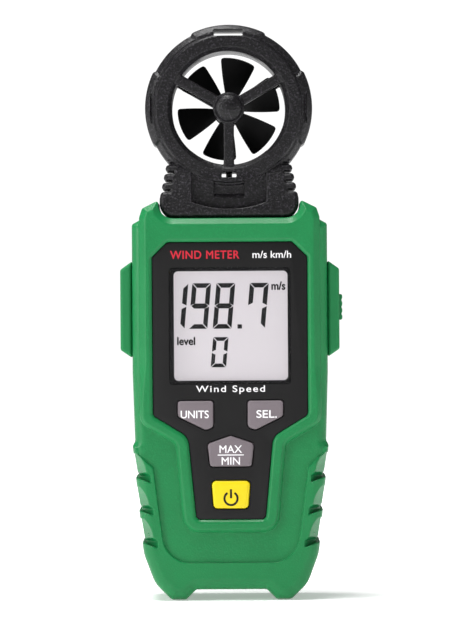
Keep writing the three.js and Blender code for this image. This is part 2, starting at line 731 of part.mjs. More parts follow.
function buildFace() {
  const panel = cut(
    slab(symmetric(PANEL), PANEL_Y),
    slab(viewCorners(WINDOW_MARGIN + 0.15), [-20, 0]),
    ...Object.values(FRONT_KEYS).map((key) => slab(key.corners, [-20, 0], { grow: FIT })),
  );
  place("face_panel", panel, MATERIALS.panel);
  place("display_window", slab(viewCorners(WINDOW_MARGIN), [-15.3, -14.1]), MATERIALS.clear);
  for (const [name, key] of Object.entries(FRONT_KEYS)) {
    place(`${name}_key`, frontKey(key), name === "power" ? MATERIALS.yellowKey : MATERIALS.greyKey);
    place(`${name}_switch`, keySwitch(key.at), MATERIALS.chip);
  }

  const [z0, z1] = SIDE_KEY_Z;
  const [y0, y1] = SIDE_KEY_Y;
  const cap = block([29.2, SIDE_KEY_X], [y0, y1], [z0, z1]);
  const stem = block([22.1, 29.5], [y0 + 1.1, y1 - 1.1], [z0 + 1.7, z1 - 1.7]);
  place("side_key", joined(cap, stem), MATERIALS.rubber);
  const button = block([20.2, 21.3], [-4.4, -2.9], [84.0, 86.2]);
  place("side_switch", joined(block([16.5, 20.5], [-5.3, -2.0], [82.1, 88.1]), button), MATERIALS.chip);
}

function buildDisplay() {
  place("lcd_panel", block([-18.4, 18.4], LCD_Y, [60.9, 98.6]), MATERIALS.display);
  place("backlight", block([-18.2, 18.2], BACKLIGHT_Y, [63.0, 98.3]), MATERIALS.milky);
  place("contact_strip", block([-17.5, 17.5], [-9.6, -7.1], [61.0, 62.8]), MATERIALS.chip);
  const holder = cut(
    block([-20, 20], [INNER_Y + GAP, BOARD_Y[0] - GAP], [59.7, 99.8]),
    block([-18.6, 18.6], [LCD_Y[0] - GAP, 0], [60.8, 98.7]),
    block([-17.2, 17.2], [-20, 0], [63.2, 96.4]),
  );
  place("lcd_holder", holder, MATERIALS.milky);
}

// ---------------------------------------------------------------- electronics and battery bay
function buildElectronics() {
  const plate = joined(
    block([-20, 20], BOARD_Y, [24.5, 99.8]),
    block([-24.4, 24.4], BOARD_Y, [57.5, 63.5]),
  );
  const holes = BOARD_SCREWS.map((at) => rodY(1.1, at, [-8, -4], 12));
  place("main_board", cut(plate, ...holes), MATERIALS.board);
  const back = BOARD_Y[1] + GAP;
  place("controller_chip", block([-5, 5], [back, back + 1.4], [68, 78]), MATERIALS.chip);
  place("ribbon_connector", block([-4, 4], [back, back + 1.3], [91, 97]), MATERIALS.milky);
  const corners = ["lower_left", "lower_right", "middle_left", "middle_right"];
  const size = { seat: back, tip: -11.0, shank: 0.8, head: 1.7, tall: 1.2 };
  BOARD_SCREWS.forEach((at, i) =>
    place(`board_screw_${corners[i]}`, screw(at, size), MATERIALS.steel),
  );
}

// An AAA cell standing on its negative end; `up` is false for one turned over.
function cell(x, z0, up) {
  const outline = [
    [0, 0],
    [CELL_R - 0.4, 0],
    [CELL_R, 0.4],
    [CELL_R, CELL_LENGTH - 1.4],
    [CELL_R - 0.4, CELL_LENGTH - 1.0],
    [1.9, CELL_LENGTH - 1.0],
    [1.9, CELL_LENGTH],
    [0, CELL_LENGTH],
  ];
  const geometry = new THREE.LatheGeometry(outline.map(([r, h]) => new THREE.Vector2(r, h)), 24);
  geometry.rotateX(up ? Math.PI / 2 : -Math.PI / 2);
  return solid(geometry.translate(x, CELL_Y, up ? z0 : z0 + CELL_LENGTH));
}

// A conical coil spring of round wire from z0 (wide end) to z1.
function spring(x, z0, z1) {
  const turns = 3.5;
  const line = new THREE.Curve();
  line.getPoint = (t) => {
    const angle = 2 * Math.PI * turns * t;
    const radius = THREE.MathUtils.lerp(3.4, 1.7, t);
    const z = THREE.MathUtils.lerp(z0, z1, t);
    return new THREE.Vector3(x + radius * Math.cos(angle), CELL_Y + radius * Math.sin(angle), z);
  };
  const wire = new THREE.Shape(
    Array.from({ length: 6 }, (_, k) => {
      const angle = (2 * Math.PI * k) / 6;
      return new THREE.Vector2(0.3 * Math.cos(angle), 0.3 * Math.sin(angle));
    }),
  );
  return solid(new THREE.ExtrudeGeometry(wire, { steps: 34, extrudePath: line }));
}

// An insulated wire through the given points.
function lead(points) {
  const curve = new THREE.CatmullRomCurve3(points.map((p) => new THREE.Vector3(...p)));
  const section = new THREE.Shape(
    Array.from({ length: 8 }, (_, k) => {
      const angle = (2 * Math.PI * k) / 8;
      return new THREE.Vector2(0.35 * Math.cos(angle), 0.35 * Math.sin(angle));
    }),
  );
  return solid(new THREE.ExtrudeGeometry(section, { steps: 14, extrudePath: curve }));
}

function buildBatteryBay() {
  const [bottom, top] = BAY_Z;
  const columns = [-CELL_PITCH, 0, CELL_PITCH];
  const names = ["left", "middle", "right"];
  columns.forEach((x, i) => {
    const up = i !== 1;
    const z0 = up ? bottom + 4.6 : bottom + 0.8;
    place(`cell_${names[i]}`, cell(x, z0, up), MATERIALS.cell);
    const wire = up ? [bottom + 0.9, bottom + 4.2] : [top - 0.9, top - 4.2];
    place(`cell_spring_${names[i]}`, spring(x, ...wire), MATERIALS.steel);
  });
  const plate = (x0, x1, z) => block([x0, x1], [CELL_Y - 4.2, CELL_Y + 4.2], [z, z + 0.4]);
  const wide = CELL_PITCH + 4.6;
  place("contact_lower_pair", plate(-wide, 4.6, bottom + 0.1), MATERIALS.steel);
  place("contact_lower_single", plate(CELL_PITCH - 4.6, wide, bottom + 0.1), MATERIALS.steel);
  place("contact_upper_single", plate(-wide, 4.6 - CELL_PITCH, top - 0.5), MATERIALS.steel);
  place("contact_upper_pair", plate(-4.6, wide, top - 0.5), MATERIALS.steel);
  const boardBack = BOARD_Y[1] + 0.4;
  place(
    "battery_lead_positive",
    lead([[-11.5, 3.4, 59.95], [-11.5, 0.5, 59.95], [-11.0, -2.5, 62.5], [-11.0, boardBack, 66.0]]),
    MATERIALS.red,
  );
  place(
    "battery_lead_negative",
    lead([[11.5, 3.4, 12.45], [11.5, 0.4, 12.45], [11.2, -1.4, 20.0], [11.0, boardBack, 32.0]]),
    MATERIALS.chip,
  );
}

function buildBatteryDoor() {
  const [z0, z1] = DOOR_Z;
  const plate = block([-DOOR_HALF, DOOR_HALF], [DOOR_Y, BACK_Y], DOOR_Z);
  const tabs = [-11, 11].flatMap((x) => [
    block([x - 3, x + 3], [12.9, 13.8], [6.0, 10.0]),
    block([x - 3, x + 3], [13.7, DOOR_Y + 0.2], [z0 + 0.2, 10.0]),
  ]);
  const latch = block([-3.6, 3.6], [13.2, DOOR_Y + 0.2], [61.9, z1]);
  const slits = [-5.0, 4.4].map((x) => block([x, x + 0.6], [10, 20], [54, 70]));
  const ridges = [0, 1, 2, 3].map((k) =>
    block([-8 + k, 8 - k], [BACK_Y - 0.5, 20], [49.5 - 1.8 * k, 50.3 - 1.8 * k]),
  );
  place("battery_door", cut(joined(plate, ...tabs, latch), ...slits, ...ridges), MATERIALS.green);
}

buildHead();
buildCasing();
buildFace();
buildDisplay();
buildElectronics();
buildBatteryBay();
buildBatteryDoor();

export default meter;
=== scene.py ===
# Handheld vane anemometer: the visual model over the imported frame. Lengths below are in millimetres;
# `MM` turns them into metres. +Z is up along the meter, -Y is the front, +X the reader's right.
import json
import math

import bpy
import bmesh
import numpy as np
from mathutils import Matrix, Vector

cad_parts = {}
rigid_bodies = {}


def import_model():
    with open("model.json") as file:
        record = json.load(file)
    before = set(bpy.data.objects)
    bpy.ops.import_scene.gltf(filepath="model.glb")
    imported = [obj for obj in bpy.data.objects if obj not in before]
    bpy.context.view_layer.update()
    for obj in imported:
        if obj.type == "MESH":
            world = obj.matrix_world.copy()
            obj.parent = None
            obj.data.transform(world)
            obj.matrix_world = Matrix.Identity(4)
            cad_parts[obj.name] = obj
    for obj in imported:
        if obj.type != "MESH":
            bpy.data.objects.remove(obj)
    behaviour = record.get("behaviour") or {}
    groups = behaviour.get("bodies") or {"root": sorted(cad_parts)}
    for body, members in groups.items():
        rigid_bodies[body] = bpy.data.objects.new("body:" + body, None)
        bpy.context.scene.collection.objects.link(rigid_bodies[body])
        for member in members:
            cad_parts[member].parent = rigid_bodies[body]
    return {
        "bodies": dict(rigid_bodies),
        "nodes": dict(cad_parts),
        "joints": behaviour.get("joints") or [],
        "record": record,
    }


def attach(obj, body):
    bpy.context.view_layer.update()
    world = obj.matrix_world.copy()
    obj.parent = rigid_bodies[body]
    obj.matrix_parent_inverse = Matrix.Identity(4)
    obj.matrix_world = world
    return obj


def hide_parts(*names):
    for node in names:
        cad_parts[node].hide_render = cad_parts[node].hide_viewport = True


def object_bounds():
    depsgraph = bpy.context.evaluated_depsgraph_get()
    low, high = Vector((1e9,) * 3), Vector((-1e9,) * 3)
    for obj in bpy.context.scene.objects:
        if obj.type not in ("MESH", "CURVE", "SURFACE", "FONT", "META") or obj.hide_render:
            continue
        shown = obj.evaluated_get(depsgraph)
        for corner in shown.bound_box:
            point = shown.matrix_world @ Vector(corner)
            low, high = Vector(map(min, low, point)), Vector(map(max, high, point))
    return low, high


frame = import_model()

cad_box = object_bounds()
MM = 0.001
GRID = 0.4  # spacing at which moulded forms are meshed
SMOOTH_ANGLE = 35.0  # degrees; edges sharper than this stay crisp
DIAGONAL = 0.70711  # one over the square root of two
THROUGH = (-30, 30)  # reaches past both faces of any piece

# ---- driving dimensions
FRAME_Y = -16.0  # front of the raised frame round the panel
BUMPER_Y = -15.2  # front of the grip
FACE_Y = -14.2  # front of the casing beside the frame
BACK_Y = 16.0
SEAM_Y = 4.0  # where the two shells meet
SEAM_GAP = 0.05  # from the seam to each shell
PANEL_Y = (-15.4, -14.1)
INNER_Y = -12.2  # inner face of the front wall
KEY_Y = -15.96
WALL = 2.0
GRIP_WALL = 4.2
GRIP_TOP = 47.0  # above this the casing's inside widens
FLANK_X = 28.65  # the flank on which the side pads lie
PAD_Y = (-11.0, 3.6)

DOOR_HALF = 19.0
DOOR_Y = 14.7  # inner face of the battery door's plate
DOOR_Z = (8.25, 63.95)
DOOR_TABS = (-11, 11)

HEAD_Z = 143.5  # the wheel's axis
BORE_R = 16.7
CHAMFER_R = 17.9
RIM_R = 21.6  # outer edge of the ring's flat face
RING_R = 23.9
BOSS_R = 24.5
RING_HALF = 10.0  # half the ring's depth
BOSS_HALF = 9.3
BOSS_HALF_WIDTH = 10.9
HUB_R = 4.6
STRUT_WIDTH = 3.1
STRUT_ANGLES = (60, 180, 300)  # clockwise from the top, in degrees
NECK_HALF = 20.3
NECK_BASE_Z = 111.4
NECK_RIB_START_Z = 116.9
SADDLE_Z = 111.2  # top of the casing under the neck

VIEW_HALF = 17.0
VIEW_Z = (63.5, 96.1)
LCD_FRONT = -11.9

# Outlines in the XZ plane as (x, z, corner radius), anticlockwise seen from the front.
# They give the right half only, except UNITS_KEY, which is whole.
BODY = [
    (10.3, 2.9, 1.0), (13.2, 0.0, 0.8), (17.5, 0.0, 1.6), (22.3, 4.7, 9.0), (25.6, 13.5, 12.0),
    (28.6, 44.9, 0.4), (27.9, 46.2, 0.3), (28.5, 66.0, 0.0), (28.5, 109.5, 0.9), (25.4, SADDLE_Z, 0.8),
]
FRAME = [
    (13.7, 19.7, 5.0), (16.1, 45.5, 2.4), (26.4, 51.7, 4.2), (26.3, 111.4, 1.2), (25.4, 114.1, 0.7),
    (20.75, 116.4, 0.5), (20.5, SADDLE_Z, 4.2),
]
PANEL = [(10.0, 23.6, 1.2), (12.25, 47.6, 4.6), (22.45, 53.8, 1.4), (22.5, 99.8, 1.0), (18.1, 104.1, 1.0)]
GRIP_FLAT = [(19.0, 10.9, 8.0), (22.6, 38.6, 0.8), (31.0, 46.2, 0.0), (31.0, 70.0, 0.0)]
NECK = [
    (NECK_HALF, NECK_BASE_Z, 4.0), (NECK_HALF, NECK_RIB_START_Z, 3.0),
    (18.1, 128.2, 0.0), (14.0, 131.0, 0.0),
]
POWER_KEY = [(5.0, 26.7, 1.3), (5.6, 34.7, 1.3)]
MAX_MIN_KEY = [(6.0, 38.9, 0.9), (6.75, 45.5, 1.2), (0.0, 47.8, 1.0)]
UNITS_KEY = [(-15.3, 58.0, 0.9), (-15.3, 53.5, 1.3), (-7.2, 49.5, 1.6), (-5.0, 50.4, 1.3), (-5.0, 58.0, 0.9)]


def mirrored(corners):
    return [(-x, z, r) for x, z, r in reversed(corners)]


def symmetric(right):
    return list(right) + mirrored([c for c in right if c[0] > 0])


# Each key's outline, and the centre of its stem.
KEYS = {
    "units": (UNITS_KEY, (-10.0, 54.4)),
    "select": (mirrored(UNITS_KEY), (10.0, 54.4)),
    "max_min": (symmetric(MAX_MIN_KEY), (0.0, 43.0)),
    "power": (symmetric(POWER_KEY), (0.0, 30.7)),
}


# ---- outlines
def outline(corners, grow=0.0, arc_step=math.radians(9)):
    """The outline as points, grown outward by `grow`, its corners rounded."""
    points = []
    count = len(corners)
    for i, (x, z, radius) in enumerate(corners):
        here = Vector((x, z))
        inward = (here - Vector(corners[i - 1][:2])).normalized()
        onward = (Vector(corners[(i + 1) % count][:2]) - here).normalized()
        n1 = Vector((inward.y, -inward.x))
        n2 = Vector((onward.y, -onward.x))
        corner = here + (n1 + n2) * (grow / (1 + n1.dot(n2)))
        turn = math.atan2(inward.x * onward.y - inward.y * onward.x, inward.dot(onward))
        if radius == 0 or abs(turn) < 0.02:
            points.append(tuple(corner))
            continue
        side = math.copysign(1, turn)
        r = max(0.0, radius + side * grow)
        start = corner - inward * (r * math.tan(abs(turn) / 2))
        centre = start - n1 * (side * r)
        steps = max(3, math.ceil(abs(turn) / arc_step))
        arm = start - centre
        for k in range(steps + 1):
            a = turn * k / steps
            points.append((
                centre.x + arm.x * math.cos(a) - arm.y * math.sin(a),
                centre.y + arm.x * math.sin(a) + arm.y * math.cos(a),
            ))
    return points


def outline_distance(points, u, v):
    """Signed distance from (u, v) to a closed outline, negative inside."""
    shape = np.broadcast(u, v).shape
    best = np.full(shape, 1e9, np.float32)
    inside = np.zeros(shape, bool)
    for (ax, ay), (bx, by) in zip(points, points[1:] + points[:1]):
        ex, ey = bx - ax, by - ay
        length2 = ex * ex + ey * ey
        if length2 < 1e-9:
            continue
        px, py = u - ax, v - ay
        t = np.clip((px * ex + py * ey) / length2, 0, 1)
        best = np.minimum(best, (px - t * ex) ** 2 + (py - t * ey) ** 2)
        if by != ay:
            crosses = (ay > v) != (by > v)
            inside ^= crosses & (u < ax + (v - ay) * ex / ey)
    far = np.sqrt(best)
    return np.where(inside, -far, far)


# ---- solid fields
def join(a, b, k=0.0):
    """Union of two fields, its crease filled to about radius k."""
    if k <= 0:
        return np.minimum(a, b)
    h = np.clip(0.5 + 0.5 * (b - a) / k, 0, 1)
    return b + (a - b) * h - k * h * (1 - h)


def meet(a, b, k=0.0):
    return -join(-a, -b, k)


def cut(a, b, k=0.0):
    return -join(-a, b, k)


def between(t, low, high):
    return np.maximum(low - t, t - high)


def rim(d, e, r):
    """Where both d and e are negative, with the edge between them rounded to radius r."""
    outside = np.sqrt(np.maximum(d + r, 0) ** 2 + np.maximum(e + r, 0) ** 2)
    return np.minimum(np.maximum(d, e) + r, 0) + outside - r


# The grid on which the distance to each outline is worked out once.
TABLE_STEP = 0.2
TABLE_LOW = (-37.0, -7.0)
TABLE_SIZE = (370, 910)
tables = {}


def flat_distance(corners, x, z, grow=0.0):
    """Signed distance to an outline in the XZ plane, read from a fine table."""
    key = (tuple(corners), grow)
    if key not in tables:
        u = TABLE_LOW[0] + TABLE_STEP * np.arange(TABLE_SIZE[0])
        v = TABLE_LOW[1] + TABLE_STEP * np.arange(TABLE_SIZE[1])
        tables[key] = outline_distance(outline(corners, grow), u[:, None], v[None, :])
    table = tables[key]
    u = np.clip((x - TABLE_LOW[0]) / TABLE_STEP, 0, TABLE_SIZE[0] - 1.001)
    v = np.clip((z - TABLE_LOW[1]) / TABLE_STEP, 0, TABLE_SIZE[1] - 1.001)
    i, j = u.astype(int), v.astype(int)
    s, t = u - i, v - j
    low = table[i, j] * (1 - s) + table[i + 1, j] * s
    high = table[i, j + 1] * (1 - s) + table[i + 1, j + 1] * s
    return low * (1 - t) + high * t


def chamfered(d, e, wide, k=0.3):
    """Where both d and e are negative, with the edge between them cut back by `wide` on each side."""
    return meet(np.maximum(d, e), (d + e + wide) * DIAGONAL, k)


def slab_field(corners, x, y, z, y0, y1, grow=0.0, r=0.0):
    return rim(flat_distance(corners, x, z, grow), between(y, y0, y1), r)


def box_field(x, y, z, xs, ys, zs, r=0.0):
    qx, qy, qz = between(x, *xs) + r, between(y, *ys) + r, between(z, *zs) + r
    outside = np.sqrt(np.maximum(qx, 0) ** 2 + np.maximum(qy, 0) ** 2 + np.maximum(qz, 0) ** 2)
    return np.minimum(np.maximum(np.maximum(qx, qy), qz), 0) + outside - r


def rod_field(x, y, z, at, radius, ys, r=0.0):
    return rim(np.hypot(x - at[0], z - at[1]) - radius, between(y, *ys), r)


# ---- meshing a field
def net(values, low, spacing):
    """Vertices and quads over the zero surface of a field sampled on a grid."""
    inside = values < 0
    n = [s - 1 for s in values.shape]
    corner = [(i, j, k) for i in (0, 1) for j in (0, 1) for k in (0, 1)]
    total = sum(inside[i:i + n[0], j:j + n[1], k:k + n[2]].astype(np.int8) for i, j, k in corner)
    cells = np.argwhere((total > 0) & (total < 8))
    place = np.zeros((len(cells), 3))
    hits = np.zeros(len(cells))
    for a in corner:
        for axis in range(3):
            if a[axis]:
                continue
            b = list(a)
            b[axis] = 1
            va = values[tuple((cells + a).T)]
            vb = values[tuple((cells + b).T)]
            crossing = (va < 0) != (vb < 0)
            t = np.where(crossing, va / np.where(crossing, va - vb, 1), 0)
            point = np.array(a, float)[None, :].repeat(len(cells), 0)
            point[:, axis] = t
            place += point * crossing[:, None]
            hits += crossing
    verts = np.array(low) + (cells + place / hits[:, None]) * spacing
    number = np.full(n, -1, np.int32)
    number[tuple(cells.T)] = np.arange(len(cells))
    quads = []
    for axis in range(3):
        b, c = [(1, 2), (2, 0), (0, 1)][axis]
        first = [slice(None)] * 3
        second = [slice(None)] * 3
        first[axis] = slice(0, -1)
        second[axis] = slice(1, None)
        change = inside[tuple(first)] != inside[tuple(second)]
        at = np.argwhere(change)
        at = at[(at[:, b] > 0) & (at[:, c] > 0) & (at[:, b] < n[b]) & (at[:, c] < n[c])]
        leaving = inside[tuple(at.T)]
        ring = []
        for db, dc in ((0, 0), (-1, 0), (-1, -1), (0, -1)):
            cell = at.copy()
            cell[:, b] += db
            cell[:, c] += dc
            ring.append(number[tuple(cell.T)])
        ring = np.stack(ring, 1)
        ring[~leaving] = ring[~leaving][:, ::-1]
        quads.append(ring)
    return verts, np.concatenate(quads)


def gradient(field, p, h=0.03):
    out = np.zeros_like(p)
    for sx, sy, sz in ((1, -1, -1), (-1, -1, 1), (-1, 1, -1), (1, 1, 1)):
        f = field(p[:, 0] + sx * h, p[:, 1] + sy * h, p[:, 2] + sz * h)
        out += np.outer(f, (sx, sy, sz))
    return out / (4 * h)


def settle(field, p, spacing):
    """Points moved onto the field's surface, and its outward directions there."""
    for _ in range(2):
        g = gradient(field, p)
        f = field(p[:, 0], p[:, 1], p[:, 2])
        step = f[:, None] * g / np.maximum((g * g).sum(1), 0.25)[:, None]
        size = np.linalg.norm(step, axis=1)[:, None]
        p = p - step * np.minimum(1, 0.5 * spacing / np.maximum(size, 1e-9))
    g = gradient(field, p)
    return p, g / np.maximum(np.linalg.norm(g, axis=1), 1e-9)[:, None]


def moulded(name, field, low, high, faces=60000, spacing=None):
    """A closed mesh over a field, thinned out to about `faces` triangles."""
    spacing = spacing or GRID
    axes = [np.arange(a - 1.5 * spacing, b + 2.5 * spacing, spacing) for a, b in zip(low, high)]
    x = axes[0][:, None, None]
    y = axes[1][None, :, None]
    z = axes[2][None, None, :]
    values = np.broadcast_to(field(x, y, z), [len(a) for a in axes]).astype(np.float32)
    verts, quads = net(values, [a[0] for a in axes], spacing)
    verts, _ = settle(field, verts, spacing)
    mesh = bpy.data.meshes.new(name)
    mesh.vertices.add(len(verts))
    mesh.vertices.foreach_set("co", (verts * MM).ravel())
    mesh.loops.add(quads.size)
    mesh.loops.foreach_set("vertex_index", quads.ravel())
    mesh.polygons.add(len(quads))
    mesh.polygons.foreach_set("loop_start", np.arange(0, quads.size, 4))
    mesh.update(calc_edges=True)
    piece = bpy.data.objects.new(name, mesh)
    bpy.context.scene.collection.objects.link(piece)
    if 2 * len(quads) > faces:
        thin = piece.modifiers.new("thin", "DECIMATE")
        thin.ratio = faces / (2 * len(quads))
        thin.use_collapse_triangulate = True
        graph = bpy.context.evaluated_depsgraph_get()
        piece.data = bpy.data.meshes.new_from_object(piece.evaluated_get(graph))
        piece.modifiers.clear()
    mesh = piece.data
    mesh.name = name
    co = np.empty(len(mesh.vertices) * 3)
    mesh.vertices.foreach_get("co", co)
    p, normals = settle(field, co.reshape(-1, 3) / MM, spacing * 0.5)
    p = np.clip(p, *(np.array(corner) / MM for corner in cad_box))
    mesh.vertices.foreach_set("co", (p * MM).ravel())
    mesh.polygons.foreach_set("use_smooth", np.ones(len(mesh.polygons), bool))
    mesh.update()
    mesh.normals_split_custom_set_from_vertices(normals)
    return piece


def lofted(name, rings, smooth_angle=SMOOTH_ANGLE, looped=False):
    """A closed mesh through rings of equally many points, capped at its ends or joined into a loop."""
    mesh = bmesh.new()
    rows = [[mesh.verts.new(Vector(p) * MM) for p in ring] for ring in rings]
    for low, high in zip(rows, rows[1:] + rows[:1] if looped else rows[1:]):
        for k in range(len(low)):
            n = (k + 1) % len(low)
            mesh.faces.new((low[k], low[n], high[n], high[k]))
    if not looped:
        mesh.faces.new(rows[0][::-1])
        mesh.faces.new(rows[-1])
    bmesh.ops.remove_doubles(mesh, verts=mesh.verts, dist=1e-7)
    bmesh.ops.recalc_face_normals(mesh, faces=mesh.faces)
    return as_piece(name, mesh, smooth_angle)


def as_piece(name, mesh, smooth_angle=SMOOTH_ANGLE):
    data = bpy.data.meshes.new(name)
    mesh.to_mesh(data)
    mesh.free()
    piece = bpy.data.objects.new(name, data)
    bpy.context.scene.collection.objects.link(piece)
    smooth(piece, smooth_angle)
    return piece


def smooth(piece, angle=SMOOTH_ANGLE):
    mesh = piece.data
    mesh.polygons.foreach_set("use_smooth", np.ones(len(mesh.polygons), bool))
    mesh.set_sharp_from_angle(angle=math.radians(angle))


def pressed(corners, levels):
    """Rings over an outline; levels are (y, growth)."""
    return [[(px, y, pz) for px, pz in outline(corners, grow)] for y, grow in levels]


def crowned(front, back, radius=0.45, crown=0.12):
    """Levels of a cap whose front edge is rounded and whose face swells slightly."""
    levels = [(back, 0.0)]
    for k in range(6):
        a = math.radians(90 * k / 5)
        levels.append((front + crown + radius - radius * math.sin(a), -radius * (1 - math.cos(a))))
    levels.append((front + crown * 0.3, -radius - 0.25))
    levels.append((front, -radius - 0.5))
    return levels


def turned(name, profile, at, sides=64, smooth_angle=SMOOTH_ANGLE, looped=False):
    """A body of revolution about an axis along Y through `at`; the profile is (radius, y)."""
    rings = []
    for radius, y in profile:
        r = max(radius, 0.01)
        rings.append([
            (at[0] + r * math.cos(2 * math.pi * k / sides), y, at[1] + r * math.sin(2 * math.pi * k / sides))
            for k in range(sides)
        ])
    return lofted(name, rings, smooth_angle, looped)


# ---- materials
class Shader:
    """A node material with object-space helpers; sizes are in millimetres."""

    def __init__(self, name, colour, roughness, metallic=0.0, specular=0.5):
        self.material = bpy.data.materials.new(name)
        self.material.use_nodes = True
        self.tree = self.material.node_tree
        self.bsdf = self.tree.nodes["Principled BSDF"]
        self.bsdf.inputs["Base Color"].default_value = (*colour, 1)
        self.bsdf.inputs["Roughness"].default_value = roughness
        self.bsdf.inputs["Metallic"].default_value = metallic
        self.bsdf.inputs["Specular IOR Level"].default_value = specular
        self.material.diffuse_color = (*colour, 1)
        self.place = self.node("ShaderNodeTexCoord").outputs["Object"]
        self.bumped = None

    def node(self, kind, **settings):
        made = self.tree.nodes.new(kind)
        for key, value in settings.items():
            setattr(made, key, value)
        return made

    def link(self, source, target):
        self.tree.links.new(source, target)

    def noise(self, size, detail=3.0, roughness=0.55, stretch=(1, 1, 1)):
        scale = self.node("ShaderNodeMapping")
        scale.inputs["Scale"].default_value = [s * 1000.0 / size for s in stretch]
        self.link(self.place, scale.inputs["Vector"])
        made = self.node("ShaderNodeTexNoise")
        made.inputs["Scale"].default_value = 1.0
        made.inputs["Detail"].default_value = detail
        made.inputs["Roughness"].default_value = roughness
        self.link(scale.outputs["Vector"], made.inputs["Vector"])
        return made.outputs["Fac"]

    def remap(self, source, low, high, to_low=0.0, to_high=1.0):
        made = self.node("ShaderNodeMapRange")
        made.inputs["From Min"].default_value = low
        made.inputs["From Max"].default_value = high
        made.inputs["To Min"].default_value = to_low
        made.inputs["To Max"].default_value = to_high
        self.link(source, made.inputs["Value"])
        return made.outputs["Result"]

    def patches(self, size, detail, low=0.0, high=1.0, roughness=0.55):
        """Noise whose middle range runs from low to high."""
        return self.remap(self.noise(size, detail, roughness), 0.3, 0.7, low, high)

    def maths(self, operation, a, b):
        made = self.node("ShaderNodeMath", operation=operation)
        for socket, value in zip(made.inputs, (a, b)):
            if isinstance(value, (int, float)):
                socket.default_value = value
            else:
                self.link(value, socket)
        return made.outputs["Value"]

    def mix(self, factor, a, b):
        made = self.node("ShaderNodeMix", data_type="RGBA")
        self.link(factor, made.inputs["Factor"])
        for socket, value in ((made.inputs[6], a), (made.inputs[7], b)):
            if isinstance(value, tuple):
                socket.default_value = (*value, 1)
            else:
                self.link(value, socket)
        return made.outputs[2]

    def colour(self, source):
        self.link(source, self.bsdf.inputs["Base Color"])

    def rough(self, source):
        self.link(source, self.bsdf.inputs["Roughness"])

    def bump(self, height, depth, strength=1.0):
        made = self.node("ShaderNodeBump")
        made.inputs["Strength"].default_value = strength
        made.inputs["Distance"].default_value = depth * MM
        self.link(height, made.inputs["Height"])
        if self.bumped:
            self.link(self.bumped, made.inputs["Normal"])
        self.bumped = made.outputs["Normal"]
        self.link(self.bumped, self.bsdf.inputs["Normal"])

    def on(self, *pieces):
        for piece in pieces:
            piece.data.materials.clear()
            piece.data.materials.append(self.material)


def fitted(piece, body, shader, node=None):
    """Give a piece its body and material, and hide the CAD node that it replaces, if any."""
    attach(piece, body)
    if node:
        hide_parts(node)
    shader.on(piece)


def linear(r, g, b):
    """A display colour, 0 to 255 a channel, as the linear values that shaders take."""
    shares = (r / 255, g / 255, b / 255)
    return tuple(c / 12.92 if c <= 0.04045 else ((c + 0.055) / 1.055) ** 2.4 for c in shares)


def shaded(colour, amount):
    return tuple(min(1.0, c * amount) for c in colour)


def moulded_plastic(
    name, colour, roughness, grain=0.35, depth=0.02, spread=0.06, painted_glints=0.0, specular=0.3
):
    """Injection-moulded plastic: spark-eroded grain, slight clouding and handled, smoother patches, and,
    where asked for, painted glints: the grain's peaks lightened in the colour.
    """
    s = Shader(name, colour, roughness, specular=specular)
    base = s.mix(s.patches(9.0, 4.0), shaded(colour, 1 - spread), shaded(colour, 1 + spread))
    # Painted glints: the colour is lightened on the grain's peaks, standing in for the light that the grain
    # catches.
    if painted_glints:
        glint_peaks = s.remap(s.noise(grain, 2.0, 0.6), 0.53, 0.68)
        base = s.mix(glint_peaks, base, shaded(colour, 1 + painted_glints))
    s.colour(base)
    s.rough(s.patches(22.0, 5.0, roughness - 0.05, roughness + 0.07, 0.6))
    s.bump(s.noise(grain, 2.0, 0.6), depth)
    return s


def metal(name, colour, roughness, stretch=(1, 1, 1)):
    """Plated or turned metal with fine marks and dulled patches."""
    s = Shader(name, colour, roughness, 1.0)
    s.colour(s.mix(s.patches(3.0, 3.0), shaded(colour, 0.85), shaded(colour, 1.05)))
    s.rough(s.patches(1.2, 4.0, roughness - 0.06, roughness + 0.12))
    s.bump(s.noise(0.5, 3.0, 0.6, stretch), 0.01)
    return s


# The green and the black plastic get painted glints on their grain, set by the speckle amounts below.
green = moulded_plastic(
    "green_plastic", linear(22, 122, 67), 0.34, grain=0.45, depth=0.07, spread=0.05, painted_glints=0.15
)
rubber = moulded_plastic("green_rubber", linear(24, 122, 68), 0.55, grain=0.5, depth=0.01, spread=0.03)
black = moulded_plastic(
    "black_plastic", linear(9, 8, 10), 0.36, grain=0.55, depth=0.2, spread=0.3, painted_glints=11.0, specular=0.32
)
panel_black = moulded_plastic("panel_black", linear(10, 9, 10), 0.55, grain=0.3, depth=0.006, spread=0.08)
shroud_black = moulded_plastic("shroud_black", linear(5, 5, 6), 0.7, grain=0.4, depth=0.01, spread=0.2)
wheel_black = moulded_plastic("wheel_black", linear(3, 3, 4), 0.75, grain=0.6, depth=0.006, spread=0.1)
grey = moulded_plastic("key_grey", linear(117, 108, 113), 0.48, grain=0.4, depth=0.008, spread=0.03)
yellow = moulded_plastic("key_yellow", linear(232, 208, 20), 0.42, grain=0.4, depth=0.006, spread=0.02)
milky = moulded_plastic("milky_plastic", linear(236, 236, 230), 0.45, grain=0.6, depth=0.006, spread=0.02)
chip_black = moulded_plastic("component_black", linear(34, 34, 36), 0.5, grain=0.25, depth=0.012, spread=0.1)
red_wire = moulded_plastic("red_insulation", linear(170, 30, 30), 0.42, grain=0.5, depth=0.006)
white_ink = moulded_plastic("white_ink", linear(240, 238, 240), 0.5, grain=0.2, depth=0.004, spread=0.02)
red_ink = moulded_plastic("red_ink", linear(196, 34, 52), 0.5, grain=0.2, depth=0.004, spread=0.04)
dark_ink = moulded_plastic("dark_ink", linear(10, 9, 10), 0.5, grain=0.2, depth=0.004, spread=0.04)
segment_ink = moulded_plastic("segment_ink", linear(8, 7, 9), 0.6, grain=0.2, depth=0.002, spread=0.03)
steel = metal("plated_steel", (0.62, 0.63, 0.65), 0.28)
brass = metal("turned_brass", (0.74, 0.55, 0.24), 0.26, stretch=(1, 6, 1))


